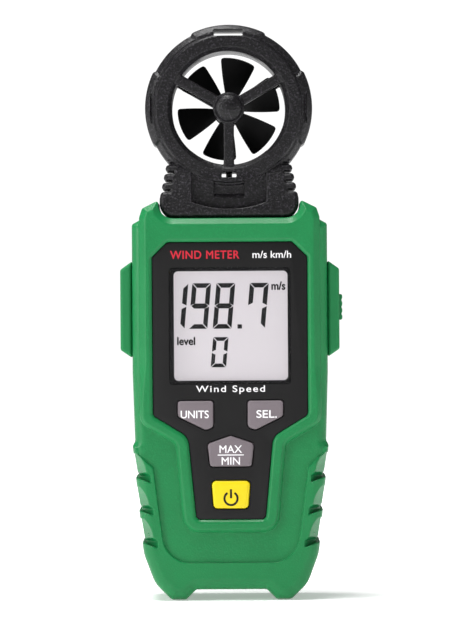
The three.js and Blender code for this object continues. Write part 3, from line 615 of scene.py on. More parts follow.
# ---- camera, light and floor
CAMERA_DISTANCE = 1100.0
CAMERA_AIM = (1.5, -12, 83.65)
CAMERA_ROLL = -0.37  # degrees
FIELD_HEIGHT = 182.3  # of the view, at the meter
# Softboxes: name, place, size, power.
SOFTBOXES = (
    ("overhead", (-140, -60, 900), (560, 320), 9.5),
    ("left", (-800, -450, 380), (260, 600), 4.7),
    ("right", (850, -350, 300), (200, 600), 0.6),
)
SURROUND = (0.21, 0.21, 0.213, 1)  # what the meter is lit by and mirrors
BACKDROP = (1.05, 1.05, 1.05, 1)  # what the camera sees behind it
GLOW = (0.34, 0.88)  # the floor's own light, near the meter and far away
GLOW_REACH = (0.04, 0.4)  # metres


def camera():
    scene = bpy.context.scene
    scene.view_settings.view_transform = "Standard"
    lens = bpy.data.cameras.new("camera")
    lens.sensor_fit = "VERTICAL"
    lens.sensor_height = 24.0
    lens.lens = CAMERA_DISTANCE * lens.sensor_height / FIELD_HEIGHT
    lens.clip_start = 0.05
    viewer = bpy.data.objects.new("camera", lens)
    level = Matrix.Rotation(math.radians(90), 4, "X")
    roll = Matrix.Rotation(math.radians(CAMERA_ROLL), 4, "Z")
    place = Vector((CAMERA_AIM[0], CAMERA_AIM[1] - CAMERA_DISTANCE, CAMERA_AIM[2])) * MM
    viewer.matrix_world = Matrix.Translation(place) @ (level @ roll)
    scene.collection.objects.link(viewer)
    scene.camera = viewer


def softbox(name, at, size, power, target=(0, 0, 80)):
    light = bpy.data.lights.new(name, "AREA")
    light.shape = "RECTANGLE"
    light.size = size[0] * MM
    light.size_y = size[1] * MM
    light.energy = power
    lamp = bpy.data.objects.new(name, light)
    lamp.location = Vector(at) * MM
    lamp.rotation_euler = (Vector(target) - Vector(at)).to_track_quat("-Z", "Y").to_euler()
    bpy.context.scene.collection.objects.link(lamp)


def studio():
    """A dim surround for light and reflections, and a white one for the camera."""
    world = bpy.data.worlds.new("studio")
    bpy.context.scene.world = world
    world.use_nodes = True
    tree = world.node_tree
    back = tree.nodes["Background"]
    back.inputs["Strength"].default_value = 1.0
    seen = tree.nodes.new("ShaderNodeLightPath").outputs["Is Camera Ray"]
    mix = tree.nodes.new("ShaderNodeMix")
    mix.data_type = "RGBA"
    mix.inputs[6].default_value = SURROUND
    mix.inputs[7].default_value = BACKDROP
    tree.links.new(seen, mix.inputs["Factor"])
    tree.links.new(mix.outputs[2], back.inputs["Color"])


def floor():
    """A pale floor, just under the feet, that glows more the farther it is from the meter."""
    ground = bmesh.new()
    corners = [(-4, -4), (4, -4), (4, 4), (-4, 4)]
    ground.faces.new([ground.verts.new((px, py, -0.0002)) for px, py in corners])
    piece = as_piece("floor", ground)
    s = Shader("pale_floor", (0.93, 0.93, 0.93), 0.9)
    s.colour(s.mix(s.noise(180.0, 2.0), (0.92, 0.92, 0.92), (0.94, 0.94, 0.94)))
    away = s.node("ShaderNodeVectorMath", operation="LENGTH")
    s.link(s.place, away.inputs[0])
    s.bsdf.inputs["Emission Color"].default_value = (1, 1, 1, 1)
    s.link(s.remap(away.outputs["Value"], *GLOW_REACH, *GLOW), s.bsdf.inputs["Emission Strength"])
    s.on(piece)


camera()
for box in SOFTBOXES:
    softbox(*box)
studio()
floor()


# ---- wheel duct and neck
# Half the ring's section as (radius, distance from the seam, corner radius).
RING_SECTION = [
    (BORE_R, -3.0, 0), (RING_R, -3.0, 0), (RING_R, RING_HALF - 3.2, 1.0),
    (RIM_R + 0.7, RING_HALF - 1.2, 0.4), (RIM_R + 0.2, RING_HALF - 1.2, 0.15),
    (RIM_R - 0.35, RING_HALF, 0.15), (CHAMFER_R, RING_HALF, 0.15), (BORE_R, RING_HALF - 1.5, 0.2),
]
NECK_RIBS = (127.3, 124.7, 122.0, 119.3)  # heights of the grooves in the neck's flanks
HEAD_SCREW_X = 12.8
HEAD_SCREW_Z = 115.6
SLOT_HALF = 4.3  # the lanyard slot, and the pockets in the side bosses


# In the fields below, d is the distance from the head's seam, v the height over the wheel's axis,
# and radius the distance from that axis.
def ring_field(x, d, v, radius):
    """The ring with the step round its face, and the bosses at its top and sides."""
    ring = outline_distance(outline(RING_SECTION), radius, d)
    bosses = []
    for across, along in ((x, v), (v, x), (v, -x)):
        wide = np.maximum(np.abs(across) - BOSS_HALF_WIDTH, -along)
        bosses.append(chamfered(rim(radius - BOSS_R, wide, 0.7), between(d, -3, BOSS_HALF), 1.9, 0.5))
    bosses = cut(np.minimum.reduce(bosses), radius - (RIM_R - 0.6))
    return join(ring, bosses, 0.15)


def neck_field(x, d, z, radius):
    """The neck with its ribs, the recess under the ring and the small pocket in that."""
    neck_depth = 13.0 - 4.3 * np.clip((z - 114.0) / 14.0, 0, 1)
    neck = rim(flat_distance(symmetric(NECK), x, z), between(d, -3, neck_depth), 1.3)
    edge = NECK_HALF - 0.2 * np.maximum(z - NECK_RIB_START_Z, 0)
    for rib in NECK_RIBS:
        groove = box_field(np.abs(x) - edge, d, z - rib, (-2.7, 6), (-20, 20), (-0.32, 0.32), 0.3)
        neck = cut(neck, groove, 1.0)
    neck = cut(neck, radius - BORE_R)
    clear_of_ring = RIM_R + 0.2 - radius
    recess = rim(np.maximum(np.abs(x) - BOSS_HALF_WIDTH, radius - 29.6), between(d, 9.1, 30), 0.0)
    neck = cut(neck, np.maximum(recess, clear_of_ring), 0.3)
    ledge = np.maximum((118.4 - z - 1.5 * (d - 8.2)) * 0.55, 117.0 - z)
    pocket = np.maximum(np.maximum(np.abs(x) - 4.4, 8.2 - d), np.maximum(ledge, clear_of_ring))
    return cut(neck, pocket, 0.12)


def strut_field(x, d, v, degrees):
    a = math.radians(degrees)
    along = x * math.sin(a) + v * math.cos(a)
    across = x * math.cos(a) - v * math.sin(a)
    return box_field(across, d, along, (-STRUT_WIDTH / 2, STRUT_WIDTH / 2), (6.2, 9.3), (2, 18.2), 0.55)


def hub_field(d, radius):
    hub = rim(radius - HUB_R, between(d, 5.2, 9.7), 0.35)
    dome = np.sqrt(radius ** 2 + ((d - 9.5) * 1.75) ** 2) - 4.15
    return join(hub, np.maximum(dome, 9.0 - d), 0.15)


def head_openings(whole, side, x, d, z):
    """The head cut by its slots, the sensor's way in, the bearing's seat and the screw holes."""
    v = z - HEAD_Z
    slot = (-SLOT_HALF, SLOT_HALF)
    whole = cut(whole, box_field(x, d, v, slot, THROUGH, (21.15, 23.0), 0.4), 0.2)
    for sign in (-1, 1):
        whole = cut(whole, box_field(sign * x, d, v, (22.2, 22.8), (8.4, 30), slot, 0.25), 0.15)
    whole = cut(whole, box_field(x, d, z, (-2.2, 2.2), THROUGH, (123.2, 124.8), 0.3), 0.2)
    stem = np.hypot(x, d) - 0.9
    whole = cut(whole, np.maximum(stem, between(z, 119, 124)))
    chamber = box_field(x, d, z, (-8, 8), (-30, 7.3), (104, 116.5))
    chamber = np.minimum(chamber, box_field(x, d, z, (-8, 8), (-30, 6.0), (116, 120.5)))
    whole = cut(whole, chamber)
    whole = cut(whole, rim(np.hypot(x, v) - 1.75, between(d, 4, 9.1), 0))
    for sx in (-HEAD_SCREW_X, HEAD_SCREW_X):
        at = (sx, HEAD_SCREW_Z)
        if side > 0:
            whole = cut(whole, rod_field(x, d, z, at, 1.25, (-5, 30)))
            whole = cut(whole, rod_field(x, d, z, at, 2.3, (10.4, 30)), 0.25)
        else:
            whole = cut(whole, rod_field(x, d, z, at, 1.1, (-5, 6.5)))
    return whole


def head_field(side):
    """One half of the head: the front one for side -1, the rear one for 1."""

    def field(x, y, z):
        d = y * side
        v = z - HEAD_Z
        radius = np.hypot(x, v)
        whole = join(ring_field(x, d, v, radius), neck_field(x, d, z, radius), 0.35)
        for degrees in STRUT_ANGLES:
            whole = join(whole, strut_field(x, d, v, degrees), 0.35)
        whole = join(whole, hub_field(d, radius), 0.3)
        spigot = box_field(x, d, z, (-14, 14), (-3, 8), (107, 112.4))
        flange = box_field(x, d, z, (-16.5, 16.5), (-3, 9.5), (105.5, 108.9))
        whole = np.minimum(whole, np.minimum(spigot, flange))
        return meet(head_openings(whole, side, x, d, z), SEAM_GAP - d, 0.12)

    return field


def head_halves():
    spacing = 0.3
    for name, side in (("head_front", -1), ("head_rear", 1)):
        low = (-25, -13.2 if side < 0 else 0, 105.3)
        high = (25, 0 if side < 0 else 13.2, 168.2)
        piece = moulded(name + "_moulding", head_field(side), low, high, 110000, spacing)
        fitted(piece, "meter", black, name)


BLADES = 6
FIRST_BLADE = 11.7  # clockwise from the top, in degrees
BLADE_HALF_ANGLE = (24.5, 20.4)  # at the hub and at the tip
BLADE_ROOT_R = 3.6
BLADE_TIP_R = 15.1
BLADE_CORNER = 0.9
BLADE_RISE = 3.9  # half the depth that a blade's pitch takes up
BLADE_THICK = 0.8
WHEEL_HUB = [
    (0.66, -4.8), (3.2, -4.8), (3.8, -4.6), (4.3, -3.9), (4.3, 4.6), (4.1, 4.8), (2.9, 4.8), (2.8, 4.7),
    (2.8, 3.4), (0.66, 3.4),
]


def blade_point(t, share, face, degrees):
    """A point on a blade: t runs across it from -1 to 1, share from hub to tip."""
    root, tip = BLADE_HALF_ANGLE
    half = root + (tip - root) * share
    reach = BLADE_TIP_R
    gap = (1 - abs(t)) * math.radians(half) * BLADE_TIP_R
    if gap < BLADE_CORNER:
        cut_back = math.sqrt(max(0.0, BLADE_CORNER ** 2 - (BLADE_CORNER - gap) ** 2))
        reach = BLADE_TIP_R - BLADE_CORNER + cut_back
    radius = BLADE_ROOT_R + (reach - BLADE_ROOT_R) * share
    a = math.radians(degrees + half * t)
    thick = BLADE_THICK * (1 - 0.35 * share) * (1 if abs(t) < 0.99 else 0.55)
    y = BLADE_RISE * t + face * thick / 2
    return Vector((radius * math.sin(a), y, HEAD_Z + radius * math.cos(a))) * MM


def fan_wheel():
    mesh = bmesh.new()
    across, along = 14, 10
    ts = [math.sin(math.pi / 2 * (2 * k / across - 1)) for k in range(across + 1)]
    for blade in range(BLADES):
        degrees = FIRST_BLADE + 360 / BLADES * blade
        grid = {}
        for face in (-1, 1):
            for i in range(along + 1):
                for k, t in enumerate(ts):
                    grid[face, i, k] = mesh.verts.new(blade_point(t, i / along, face, degrees))
        for i in range(along):
            for k in range(across):
                for face in (-1, 1):
                    corners = ((i, k), (i, k + 1), (i + 1, k + 1), (i + 1, k))
                    mesh.faces.new([grid[face, row, column] for row, column in corners])
            for k in (0, across):
                mesh.faces.new((grid[-1, i, k], grid[-1, i + 1, k], grid[1, i + 1, k], grid[1, i, k]))
        for k in range(across):
            for i in (0, along):
                mesh.faces.new((grid[-1, i, k], grid[-1, i, k + 1], grid[1, i, k + 1], grid[1, i, k]))
    bmesh.ops.recalc_face_normals(mesh, faces=mesh.faces)
    blades = as_piece("wheel_blades", mesh, 50)
    hub = turned("wheel_hub", WHEEL_HUB, (0, HEAD_Z), looped=True)
    fitted(blades, "wheel", wheel_black, "fan_wheel")
    fitted(hub, "wheel", wheel_black)


def temperature_sensor():
    profile = [(0, 112.0), (0.45, 112.0), (0.45, 122.3)]
    for k in range(7):
        a = math.pi / 2 * k / 6
        profile.append((0.45 + 0.4 * math.sin(a * 0.5) + 0.02 * k, 122.3 + 0.1 * k))
    for k in range(7):
        a = math.pi / 2 * k / 6
        profile.append((0.86 * math.cos(a), 122.95 + 0.8 * math.sin(a)))
    rings = []
    for radius, z in profile:
        r = max(radius, 0.01)
        rings.append([
            (r * math.cos(2 * math.pi * k / 32), r * math.sin(2 * math.pi * k / 32), z) for k in range(32)
        ])
    piece = lofted("thermistor_bead", rings)
    fitted(piece, "meter", chip_black, "temperature_sensor")


# ---- casing
SCOOP_LEDGES = ((36.0, 27.7), (26.5, 27.0), (17.0, 25.8))  # height, and half the casing's width there
SCOOP_HEIGHT = 6.8
SCOOP_RISE = 6.2  # over which a scoop fades out
CASE_SCREWS = ((-21.3, 104.6), (21.3, 104.6), (-21.6, 20.0), (21.6, 20.0))
BOARD_SCREWS = ((-17.0, 28.0), (17.0, 28.0), (-22.2, 60.5), (22.2, 60.5))


# Boxes cut out of the shells, as their reach along x, y and z.
FRONT_OPENINGS = (
    ((-14.3, 14.3), (-8.3, 10), (105, 112)),  # the neck
    ((20, 40), (-5.8, -1.4), (82.5, 87.7)),  # the side key
    ((-40, -20), (-6.0, -1.0), (82.5, 87.5)),  # the left pad's plug
)
REAR_OPENINGS = (
    ((-14.3, 14.3), (-10, 8.3), (105, 112)),  # the neck
    ((-13.2, -9.8), (-1, 4.0), (59.5, 60.4)),  # the positive lead
    ((9.8, 13.2), (-1, 4.0), (11.8, 13.8)),  # the negative lead
)


def casing(x, y, z):
    """The casing's outside, both shells together, with the scoops in the grip's edges."""
    body = flat_distance(symmetric(BODY), x, z)
    core = rim(body, between(y, FACE_Y, BACK_Y), 3.4)
    grip = rim(rim(body, z - 45.0, 0.5), between(y, BUMPER_Y, BACK_Y), 3.6)
    flat = np.maximum(flat_distance(symmetric(GRIP_FLAT), x, z), y - FACE_Y - 0.5)
    grip = cut(grip, flat, 0.25)
    slope = 1.0 + 0.8 * np.clip((z - 58.0) / 10.0, 0, 1)
    frame = chamfered(flat_distance(symmetric(FRAME), x, z), between(y, FRAME_Y, 12.0), slope, 0.2)
    whole = join(core, grip, 0.1)
    side = np.abs(x)
    for ledge, edge in SCOOP_LEDGES:
        rise = np.clip((z - ledge) / SCOOP_RISE, 0, 1.2)
        groove = 1.1 * np.exp(-(rise / 0.13) ** 2)
        tooth = 0.35 * (side - edge) - 0.25
        level = np.maximum(ledge - z + tooth, z - ledge - SCOOP_HEIGHT)
        for front in (-1, 1):
            face = BUMPER_Y if front < 0 else BACK_Y
            corner = 0.90 * (side - edge) + 0.43 * (front * y - abs(face))
            depth = 1.15 + 0.35 * (1 - rise ** 2)
            if front < 0:
                depth = depth + 1.4 * (1 - rise ** 2) + groove
            whole = cut(whole, np.maximum(-(corner + depth), level), 0.12)
        waist = edge - 0.9 * (1 - rise) + 0.3 - 0.4 * groove
        whole = cut(whole, np.maximum(waist - side, level), 0.15)
    return join(whole, frame, 0.2)


def room(x, y, z, y0, y1):
    """The hollow inside the casing, narrower within the grip."""
    upper = np.maximum(flat_distance(symmetric(BODY), x, z, -WALL), GRIP_TOP - z)
    lower = flat_distance(symmetric(BODY), x, z, -GRIP_WALL)
    return np.maximum(np.minimum(upper, lower), between(y, y0, y1))


def view_corners(grow):
    """The outline of the visible display, grown outward by `grow`."""
    half = VIEW_HALF + grow
    low, high = VIEW_Z[0] - grow, VIEW_Z[1] + grow
    return [(half, low, 1.2), (half, high, 1.2), (-half, high, 1.2), (-half, low, 1.2)]


def finger_dip(x, y, z, deep):
    """A shallow hollow in the back, across the top edge of the battery door."""
    away = np.sqrt((x / 7.0) ** 2 + ((z - 64.2) / 4.2) ** 2 + ((y - BACK_Y) / deep) ** 2)
    return away * 2.2 - 2.2


def front_field(x, y, z):
    """The front shell: screw bosses, the panel's bed, the display, key, neck and side openings."""
    seam = SEAM_Y - SEAM_GAP
    whole = cut(casing(x, y, z), room(x, y, z, INNER_Y, 30))
    for at in CASE_SCREWS:
        whole = np.minimum(whole, rod_field(x, y, z, at, 2.7, (INNER_Y - 0.5, seam)))
    for at in BOARD_SCREWS:
        whole = np.minimum(whole, rod_field(x, y, z, at, 1.9, (INNER_Y - 0.5, -7.1)))
    bed = flat_distance(symmetric(PANEL), x, z, 0.15)
    lip = np.maximum(bed - 0.75, (bed + y - FRAME_Y - 0.75) * DIAGONAL)
    whole = cut(whole, np.maximum(np.minimum(bed, lip), y + 14.0), 0.2)
    whole = cut(whole, slab_field(view_corners(0), x, y, z, -30, -5))
    for corners, _ in KEYS.values():
        whole = cut(whole, slab_field(corners, x, y, z, -30, -5, 0.3))
    for spans in FRONT_OPENINGS:
        whole = cut(whole, box_field(x, y, z, *spans))
    for at in CASE_SCREWS:
        whole = cut(whole, rod_field(x, y, z, at, 1.35, (-6, 10)))
    return meet(whole, y - seam, 0.35)


def rear_field(x, y, z):
    """The rear shell: screw bosses, the battery bay and its door's seat, the neck's and leads' ways in."""
    seam = SEAM_Y + SEAM_GAP
    whole = cut(casing(x, y, z), room(x, y, z, -20, BACK_Y - WALL))
    for at in CASE_SCREWS:
        whole = np.minimum(whole, rod_field(x, y, z, at, 2.9, (seam, BACK_Y - 1)))
    whole = np.minimum(whole, box_field(x, y, z, (-18.5, 18.5), (1.0, 14.6), (9.5, 62.6)))
    whole = cut(whole, box_field(x, y, z, (-19.25, 19.25), (14.6, 30), (8.0, 64.25), 0.6), 0.25)
    whole = cut(whole, box_field(x, y, z, (-17, 17), (2.4, 30), (11.3, 61.0)))
    whole = cut(whole, box_field(x, y, z, (-4.6, 4.6), (12.6, 30), (60, 64.25)))
    whole = cut(whole, finger_dip(x, y, z, 1.6), 0.3)
    for spans in REAR_OPENINGS:
        whole = cut(whole, box_field(x, y, z, *spans))
    for at in CASE_SCREWS:
        whole = cut(whole, rod_field(x, y, z, at, 1.4, (0, 30)))
        whole = cut(whole, rod_field(x, y, z, at, 2.6, (13.0, 30)), 0.3)
    for tab in DOOR_TABS:
        whole = cut(whole, box_field(x, y, z, (tab - 3.4, tab + 3.4), (11.8, 14.9), (5.6, 12.6)))
    return meet(whole, seam - y, 0.35)


def shells():
    front = moulded("front_casing", front_field, (-29, -16.2, -0.2), (29, 4, 116.6), 180000)
    rear = moulded("rear_casing", rear_field, (-29, 4, -0.2), (29, 16.2, 116.6), 120000)
    fitted(front, "meter", green, "front_shell")
    fitted(rear, "meter", green, "rear_shell")


DOOR = [
    (DOOR_HALF, DOOR_Z[0], 0.6), (DOOR_HALF, DOOR_Z[1], 0.6),
    (-DOOR_HALF, DOOR_Z[1], 0.6), (-DOOR_HALF, DOOR_Z[0], 0.6),
]


def door_field(x, y, z):
    """The cover over the cells: a finger dip, a grooved border, a sprung latch and two hinge tabs."""
    cover = box_field(x, y, z, (-DOOR_HALF, DOOR_HALF), (DOOR_Y, BACK_Y), DOOR_Z, 0.5)
    for rib in range(4):
        half = 8.0 - rib
        low = 49.5 - 1.8 * rib
        groove = box_field(x, y, z, (-half, half), (BACK_Y - 0.5, 20), (low, low + 0.8), 0.25)
        cover = cut(cover, groove, 0.3)
    cover = cut(cover, finger_dip(x, y, z, 1.1), 0.3)
    border = between(flat_distance(DOOR, x, z, -1.6), -0.5, 0.0)
    cover = cut(cover, np.maximum(border, BACK_Y - 0.2 - y), 0.15)
    for tab in DOOR_TABS:
        wide = (tab - 3, tab + 3)
        cover = np.minimum(cover, box_field(x, y, z, wide, (12.9, 13.8), (6.0, 10.0), 0.2))
        cover = np.minimum(cover, box_field(x, y, z, wide, (13.3, 15.2), (8.45, 10.0), 0.1))
    cover = np.minimum(cover, box_field(x, y, z, (-3.6, 3.6), (13.2, 15.0), (61.9, DOOR_Z[1]), 0.2))
    for slit in (-5.0, 4.4):
        cover = cut(cover, box_field(x, y, z, (slit, slit + 0.6), (10, 20), (54, 70), 0.1), 0.1)
    return cover


def battery_door():
    spacing = 0.28
    piece = moulded("battery_cover", door_field, (-19.1, 12.8, 5.9), (19.1, 16.05, 64.1), 60000, spacing)
    fitted(piece, "battery_door", green, "battery_door")


PAD = [(FLANK_X, 70.6, 0), (32.0, 72.9, 0.9), (32.0, 96.3, 0.9), (FLANK_X, 98.7, 0)]
SIDE_KEY_Y = (-6.5, -0.7)
SIDE_KEY_Z = (81.3, 88.9)


def right_pad(x, y, z):
    pad = np.maximum(slab_field(PAD, x, y, z, *PAD_Y, 0, 0.9), FLANK_X - x)
    return cut(pad, box_field(x, y, z, (20, 40), (-6.8, -0.4), (81.0, 89.2), 0.5), 0.2)


def left_pad(x, y, z):
    """The plain pad, with the plug that holds it in the casing."""
    pad = np.maximum(slab_field(PAD, -x, y, z, *PAD_Y, 0, 0.9), FLANK_X + x)
    return np.minimum(pad, box_field(-x, y, z, (26.8, 30), (-5.8, -1.2), (82.7, 87.3)))


def side_key_field(x, y, z):
    cap = box_field(x, y, z, (29.2, 33.0), SIDE_KEY_Y, SIDE_KEY_Z, 0.6)
    for rib in (83.1, 85.1, 87.1):
        cap = cut(cap, np.hypot(x - 33.3, z - rib) - 0.55, 0.2)
    return np.minimum(cap, box_field(x, y, z, (22.1, 29.5), (-5.4, -1.8), (83.0, 87.2), 0.3))


def side_pads():
    pads = (("right_side_pad", right_pad, (28.5, 32.1)), ("left_side_pad", left_pad, (-32.1, -26.7)))
    for name, field, xs in pads:
        piece = moulded(name + "_moulding", field, (xs[0], -11.1, 70.4), (xs[1], 3.7, 98.8), 24000, 0.35)
        fitted(piece, "meter", rubber, name)


def side_key():
    piece = moulded("side_key_cap", side_key_field, (22, -6.6, 81.2), (33.1, -0.6, 89), 14000, 0.3)
    fitted(piece, "side_key", rubber, "side_key")


# ---- face
def subtract(piece, *tools):
    """Cut the tools out of a piece, then remove them."""
    for tool in tools:
        change = piece.modifiers.new("cut", "BOOLEAN")
        change.operation = "DIFFERENCE"
        change.solver = "EXACT"
        change.object = tool
    graph = bpy.context.evaluated_depsgraph_get()
    piece.data = bpy.data.meshes.new_from_object(piece.evaluated_get(graph))
    piece.modifiers.clear()
    for tool in tools:
        bpy.data.objects.remove(tool)
    smooth(piece)


def face_panel():
    front, back = PANEL_Y
    levels = [(back, 0), (front + 0.25, 0), (front + 0.07, -0.07), (front, -0.25)]
    piece = lofted("face_plate", pressed(symmetric(PANEL), levels))
    hole = [lofted("hole", pressed(view_corners(0.75), [(-13, 0), (-17, 0)]))]
    for corners, _ in KEYS.values():
        hole.append(lofted("hole", pressed(corners, [(-13, 0.28), (-15.15, 0.28), (-17, 0.75)])))
    subtract(piece, *hole)
    fitted(piece, "meter", panel_black, "face_panel")


def keys():
    for name, (corners, at) in KEYS.items():
        cap = lofted(name + "_keycap", pressed(corners, crowned(KEY_Y, -11.9)))
        flange = lofted(name + "_key_flange", pressed(corners, [(-11.2, 0.75), (-12.0, 0.75)]))
        stem = turned(name + "_key_stem", [(0, -10.7), (1.6, -10.7), (1.6, -11.7), (0, -11.7)], at, 24)
        slot, shader = ("yellow_key", yellow) if name == "power" else ("grey_key", grey)
        fitted(cap, name + "_key", shader, name + "_key")
        fitted(flange, name + "_key", shader)
        fitted(stem, name + "_key", shader)


LAYERS = ((0, 0), (1, 0), (-1, 0), (0, 1), (0, -1))


def lettering(name, words, at, size, y, body, slot, ink, weight=0.05, tracking=1.0):
    """Flat printed words centred at `at`, scaled to a width and height.

    The outline is laid down five times, shifted by `weight` each way, to thicken the strokes. Each layer
    stands a hair in front of the last, so that no two of them coincide.
    """
    curve = bpy.data.curves.new(name, "FONT")
    curve.body = words
    curve.align_x = "CENTER"
    curve.align_y = "CENTER"
    curve.resolution_u = 6
    curve.extrude = 0.02
    curve.space_character = tracking
    text = bpy.data.objects.new(name, curve)
    bpy.context.scene.collection.objects.link(text)
    bpy.context.view_layer.update()
    graph = bpy.context.evaluated_depsgraph_get()
    mesh = bpy.data.meshes.new_from_object(text.evaluated_get(graph))
    bpy.data.objects.remove(text)
    mesh.name = name
    co = np.empty(len(mesh.vertices) * 3)
    mesh.vertices.foreach_get("co", co)
    co = co.reshape(-1, 3)
    low, high = co.min(0), co.max(0)
    u, v = ((co[:, i] - (low[i] + high[i]) / 2) * size[i] / (high[i] - low[i]) + at[i] for i in (0, 1))
    w = y - 0.01 * (co[:, 2] > 0)
    mesh.vertices.foreach_set("co", (np.stack([u, w, v], 1) * MM).ravel())
    bold = bmesh.new()
    for layer, (across, up) in enumerate(LAYERS):
        first = len(bold.verts)
        bold.from_mesh(mesh)
        bold.verts.ensure_lookup_table()
        for vert in bold.verts[first:]:
            vert.co += Vector((across * weight, -0.002 * layer, up * weight)) * MM
    bpy.data.meshes.remove(mesh)
    fitted(as_piece(name, bold, 30), body, ink)


def plate(name, shapes, y, thick=0.03):
    """Thin flat polygons in the XZ plane, their back at y."""
    mesh = bmesh.new()
    for shape in shapes:
        back = [mesh.verts.new(Vector((px, y, pz)) * MM) for px, pz in shape]
        front = [mesh.verts.new(Vector((px, y - thick, pz)) * MM) for px, pz in shape]
        mesh.faces.new(back[::-1])
        mesh.faces.new(front)
        for k in range(len(shape)):
            n = (k + 1) % len(shape)
            mesh.faces.new((back[k], back[n], front[n], front[k]))
    bmesh.ops.recalc_face_normals(mesh, faces=mesh.faces)
    return as_piece(name, mesh, 30)


def band(at, radius, width, start, stop, steps=24):
    """Quads along an arc, from `start` to `stop` degrees anticlockwise from +X."""
    quads = []
    for k in range(steps):
        a, b = (math.radians(start + (stop - start) * (k + s) / steps) for s in (0, 1))
        inner, outer = radius - width / 2, radius + width / 2
        quads.append([
            (at[0] + r * math.cos(t), at[1] + r * math.sin(t))
            for r, t in ((inner, a), (outer, a), (outer, b), (inner, b))
        ])
    return quads


def rectangle(x0, x1, z0, z1):
    return [(x0, z0), (x1, z0), (x1, z1), (x0, z1)]


def legends():
    panel = (PANEL_Y[0] - 0.005, "meter", "black_panel")
    lettering("measure_legend", "Wind Speed", (0.05, 61.2), (20.0, 2.45), *panel, white_ink, 0.03, 1.2)
    lettering("unit_legend", "m/s km/h", (12.3, 100.5), (11.2, 2.05), *panel, white_ink, 0.03)
    lettering("meter_legend", "WIND METER", (-7.2, 100.5), (20.0, 2.3), *panel, red_ink, 0.06, 1.1)

    on_key = KEY_Y - 0.005
    lettering("units_legend", "UNITS", (-10.4, 54.1), (8.1, 2.2), on_key, "units_key", "grey_key", white_ink)
    lettering("select_legend", "SEL.", (10.5, 54.1), (5.9, 2.2), on_key, "select_key", "grey_key", white_ink)
    max_min = (on_key, "max_min_key", "grey_key", white_ink)
    lettering("max_legend", "MAX", (0.0, 43.95), (6.5, 2.15), *max_min, 0.03)
    lettering("min_legend", "MIN", (0.0, 40.5), (5.3, 2.15), *max_min, 0.03)
    bar = plate("legend_bar", [rectangle(-3.8, 3.8, 42.1, 42.4)], on_key)
    fitted(bar, "max_min_key", white_ink)
    centre = (0.0, 29.6)
    symbol = band(centre, 1.9, 0.62, 122, 418, 40) + [rectangle(-0.31, 0.31, 29.7, 32.3)]
    fitted(plate("power_symbol", symbol, on_key), "power_key", dark_ink)


# ---- display
SEGMENTS = {"0": "abcdef", "1": "bc", "7": "abcf", "8": "abcdefg", "9": "abcdfg"}


def digit(symbol, x0, z0, width, height, stroke, slant=0.09, gap=0.16):
    """Seven-segment shapes; (x0, z0) is the digit's lower left corner."""
    w, h, s = width, height, stroke
    m = h / 2
    b = s * 0.55
    shapes = {
        "a": [(gap, h), (w - gap, h), (w - s - gap, h - s), (s + gap, h - s)],
        "d": [(s + gap, s), (w - s - gap, s), (w - gap, 0), (gap, 0)],
        "g": [(gap + 0.1, m), (s * 0.75 + gap, m + b), (w - s * 0.75 - gap, m + b), (w - gap - 0.1, m),
              (w - s * 0.75 - gap, m - b), (s * 0.75 + gap, m - b)],
        "f": [(0, m + gap), (0, h - gap), (s, h - s - gap), (s, m + b + gap * 0.6)],
        "e": [(0, gap), (0, m - gap), (s, m - b - gap * 0.6), (s, s + gap)],
        "b": [(w - s, m + b + gap * 0.6), (w - s, h - s - gap), (w, h - gap), (w, m + gap)],
        "c": [(w - s, s + gap), (w - s, m - b - gap * 0.6), (w, m - gap), (w, gap)],
    }
    chosen = SEGMENTS[symbol]
    return [[(x0 + px + slant * pz, z0 + pz) for px, pz in shapes[name]] for name in chosen]


BIG_DIGITS = (("1", -18.75), ("9", -12.1), ("8", -5.05), ("7", 4.7))  # digit, left edge
BIG_DIGIT_Z = 78.95
SHROUD_Y = (-14.08, -12.0)


def display_figures():
    """The figures and words on the display, just in front of its glass."""
    y = LCD_FRONT - 0.02
    shapes = []
    for symbol, x0 in BIG_DIGITS:
        shapes += digit(symbol, x0, BIG_DIGIT_Z, 5.5, 13.3, 1.35)
    shapes.append(rectangle(2.2, 3.5, BIG_DIGIT_Z, 80.2))
    shapes += digit("0", -5.7, 67.7, 4.5, 8.8, 1.1)
    figures = plate("display_figures", shapes, y, 0.02)
    fitted(figures, "meter", segment_ink)
    on_glass = (y, "meter", "display_glass", segment_ink)
    lettering("display_unit", "m/s", (14.2, 91.4), (3.9, 2.35), *on_glass, 0.11)
    lettering("display_level", "level", (-12.8, 75.4), (5.1, 2.25), *on_glass, 0.11)


def display_window():
    levels = [(-14.1, 0), (-15.2, 0), (-15.27, -0.06), (-15.3, -0.2)]
    window = lofted("window_pane", pressed(view_corners(0.6), levels))
    pane = Shader("window_clear", (0.05, 0.05, 0.055), 0.04)
    pane.bsdf.inputs["Alpha"].default_value = 0.07
    pane.rough(pane.patches(14.0, 4.0, 0.03, 0.07))
    fitted(window, "meter", pane, "display_window")


def display_shroud_and_painted_shade():
    """The black lining of the display's opening: partly the real black border, partly painted shade cast by
    the recess, most of all on the left.
    """
    # Painted shade: the lining reaches 0.65 mm in on the left, 0.35 mm at top and bottom and 0.15 mm on the
    # right, standing in for the recess's shade.
    right, left = VIEW_HALF - 0.15, 0.65 - VIEW_HALF
    low, high = VIEW_Z[0] + 0.35, VIEW_Z[1] - 0.35
    inner = [(right, low, 1.3), (right, high, 1.3), (left, high, 1.3), (left, low, 1.3)]
    outer = view_corners(0)
    front, back = SHROUD_Y
    rings = pressed(outer, [(front + 0.06, 1.3), (front, 1.3)]) + pressed(inner, [(front, 0), (back, 0)])
    rings += pressed(outer, [(back, -0.02), (front + 0.06, -0.02)])
    shroud = lofted("display_shroud_and_painted_shade", rings, looped=True)
    fitted(shroud, "meter", shroud_black)


head_halves()
fan_wheel()
temperature_sensor()
shells()
battery_door()
side_pads()
side_key()
face_panel()
keys()
legends()
display_figures()
display_window()
display_shroud_and_painted_shade()


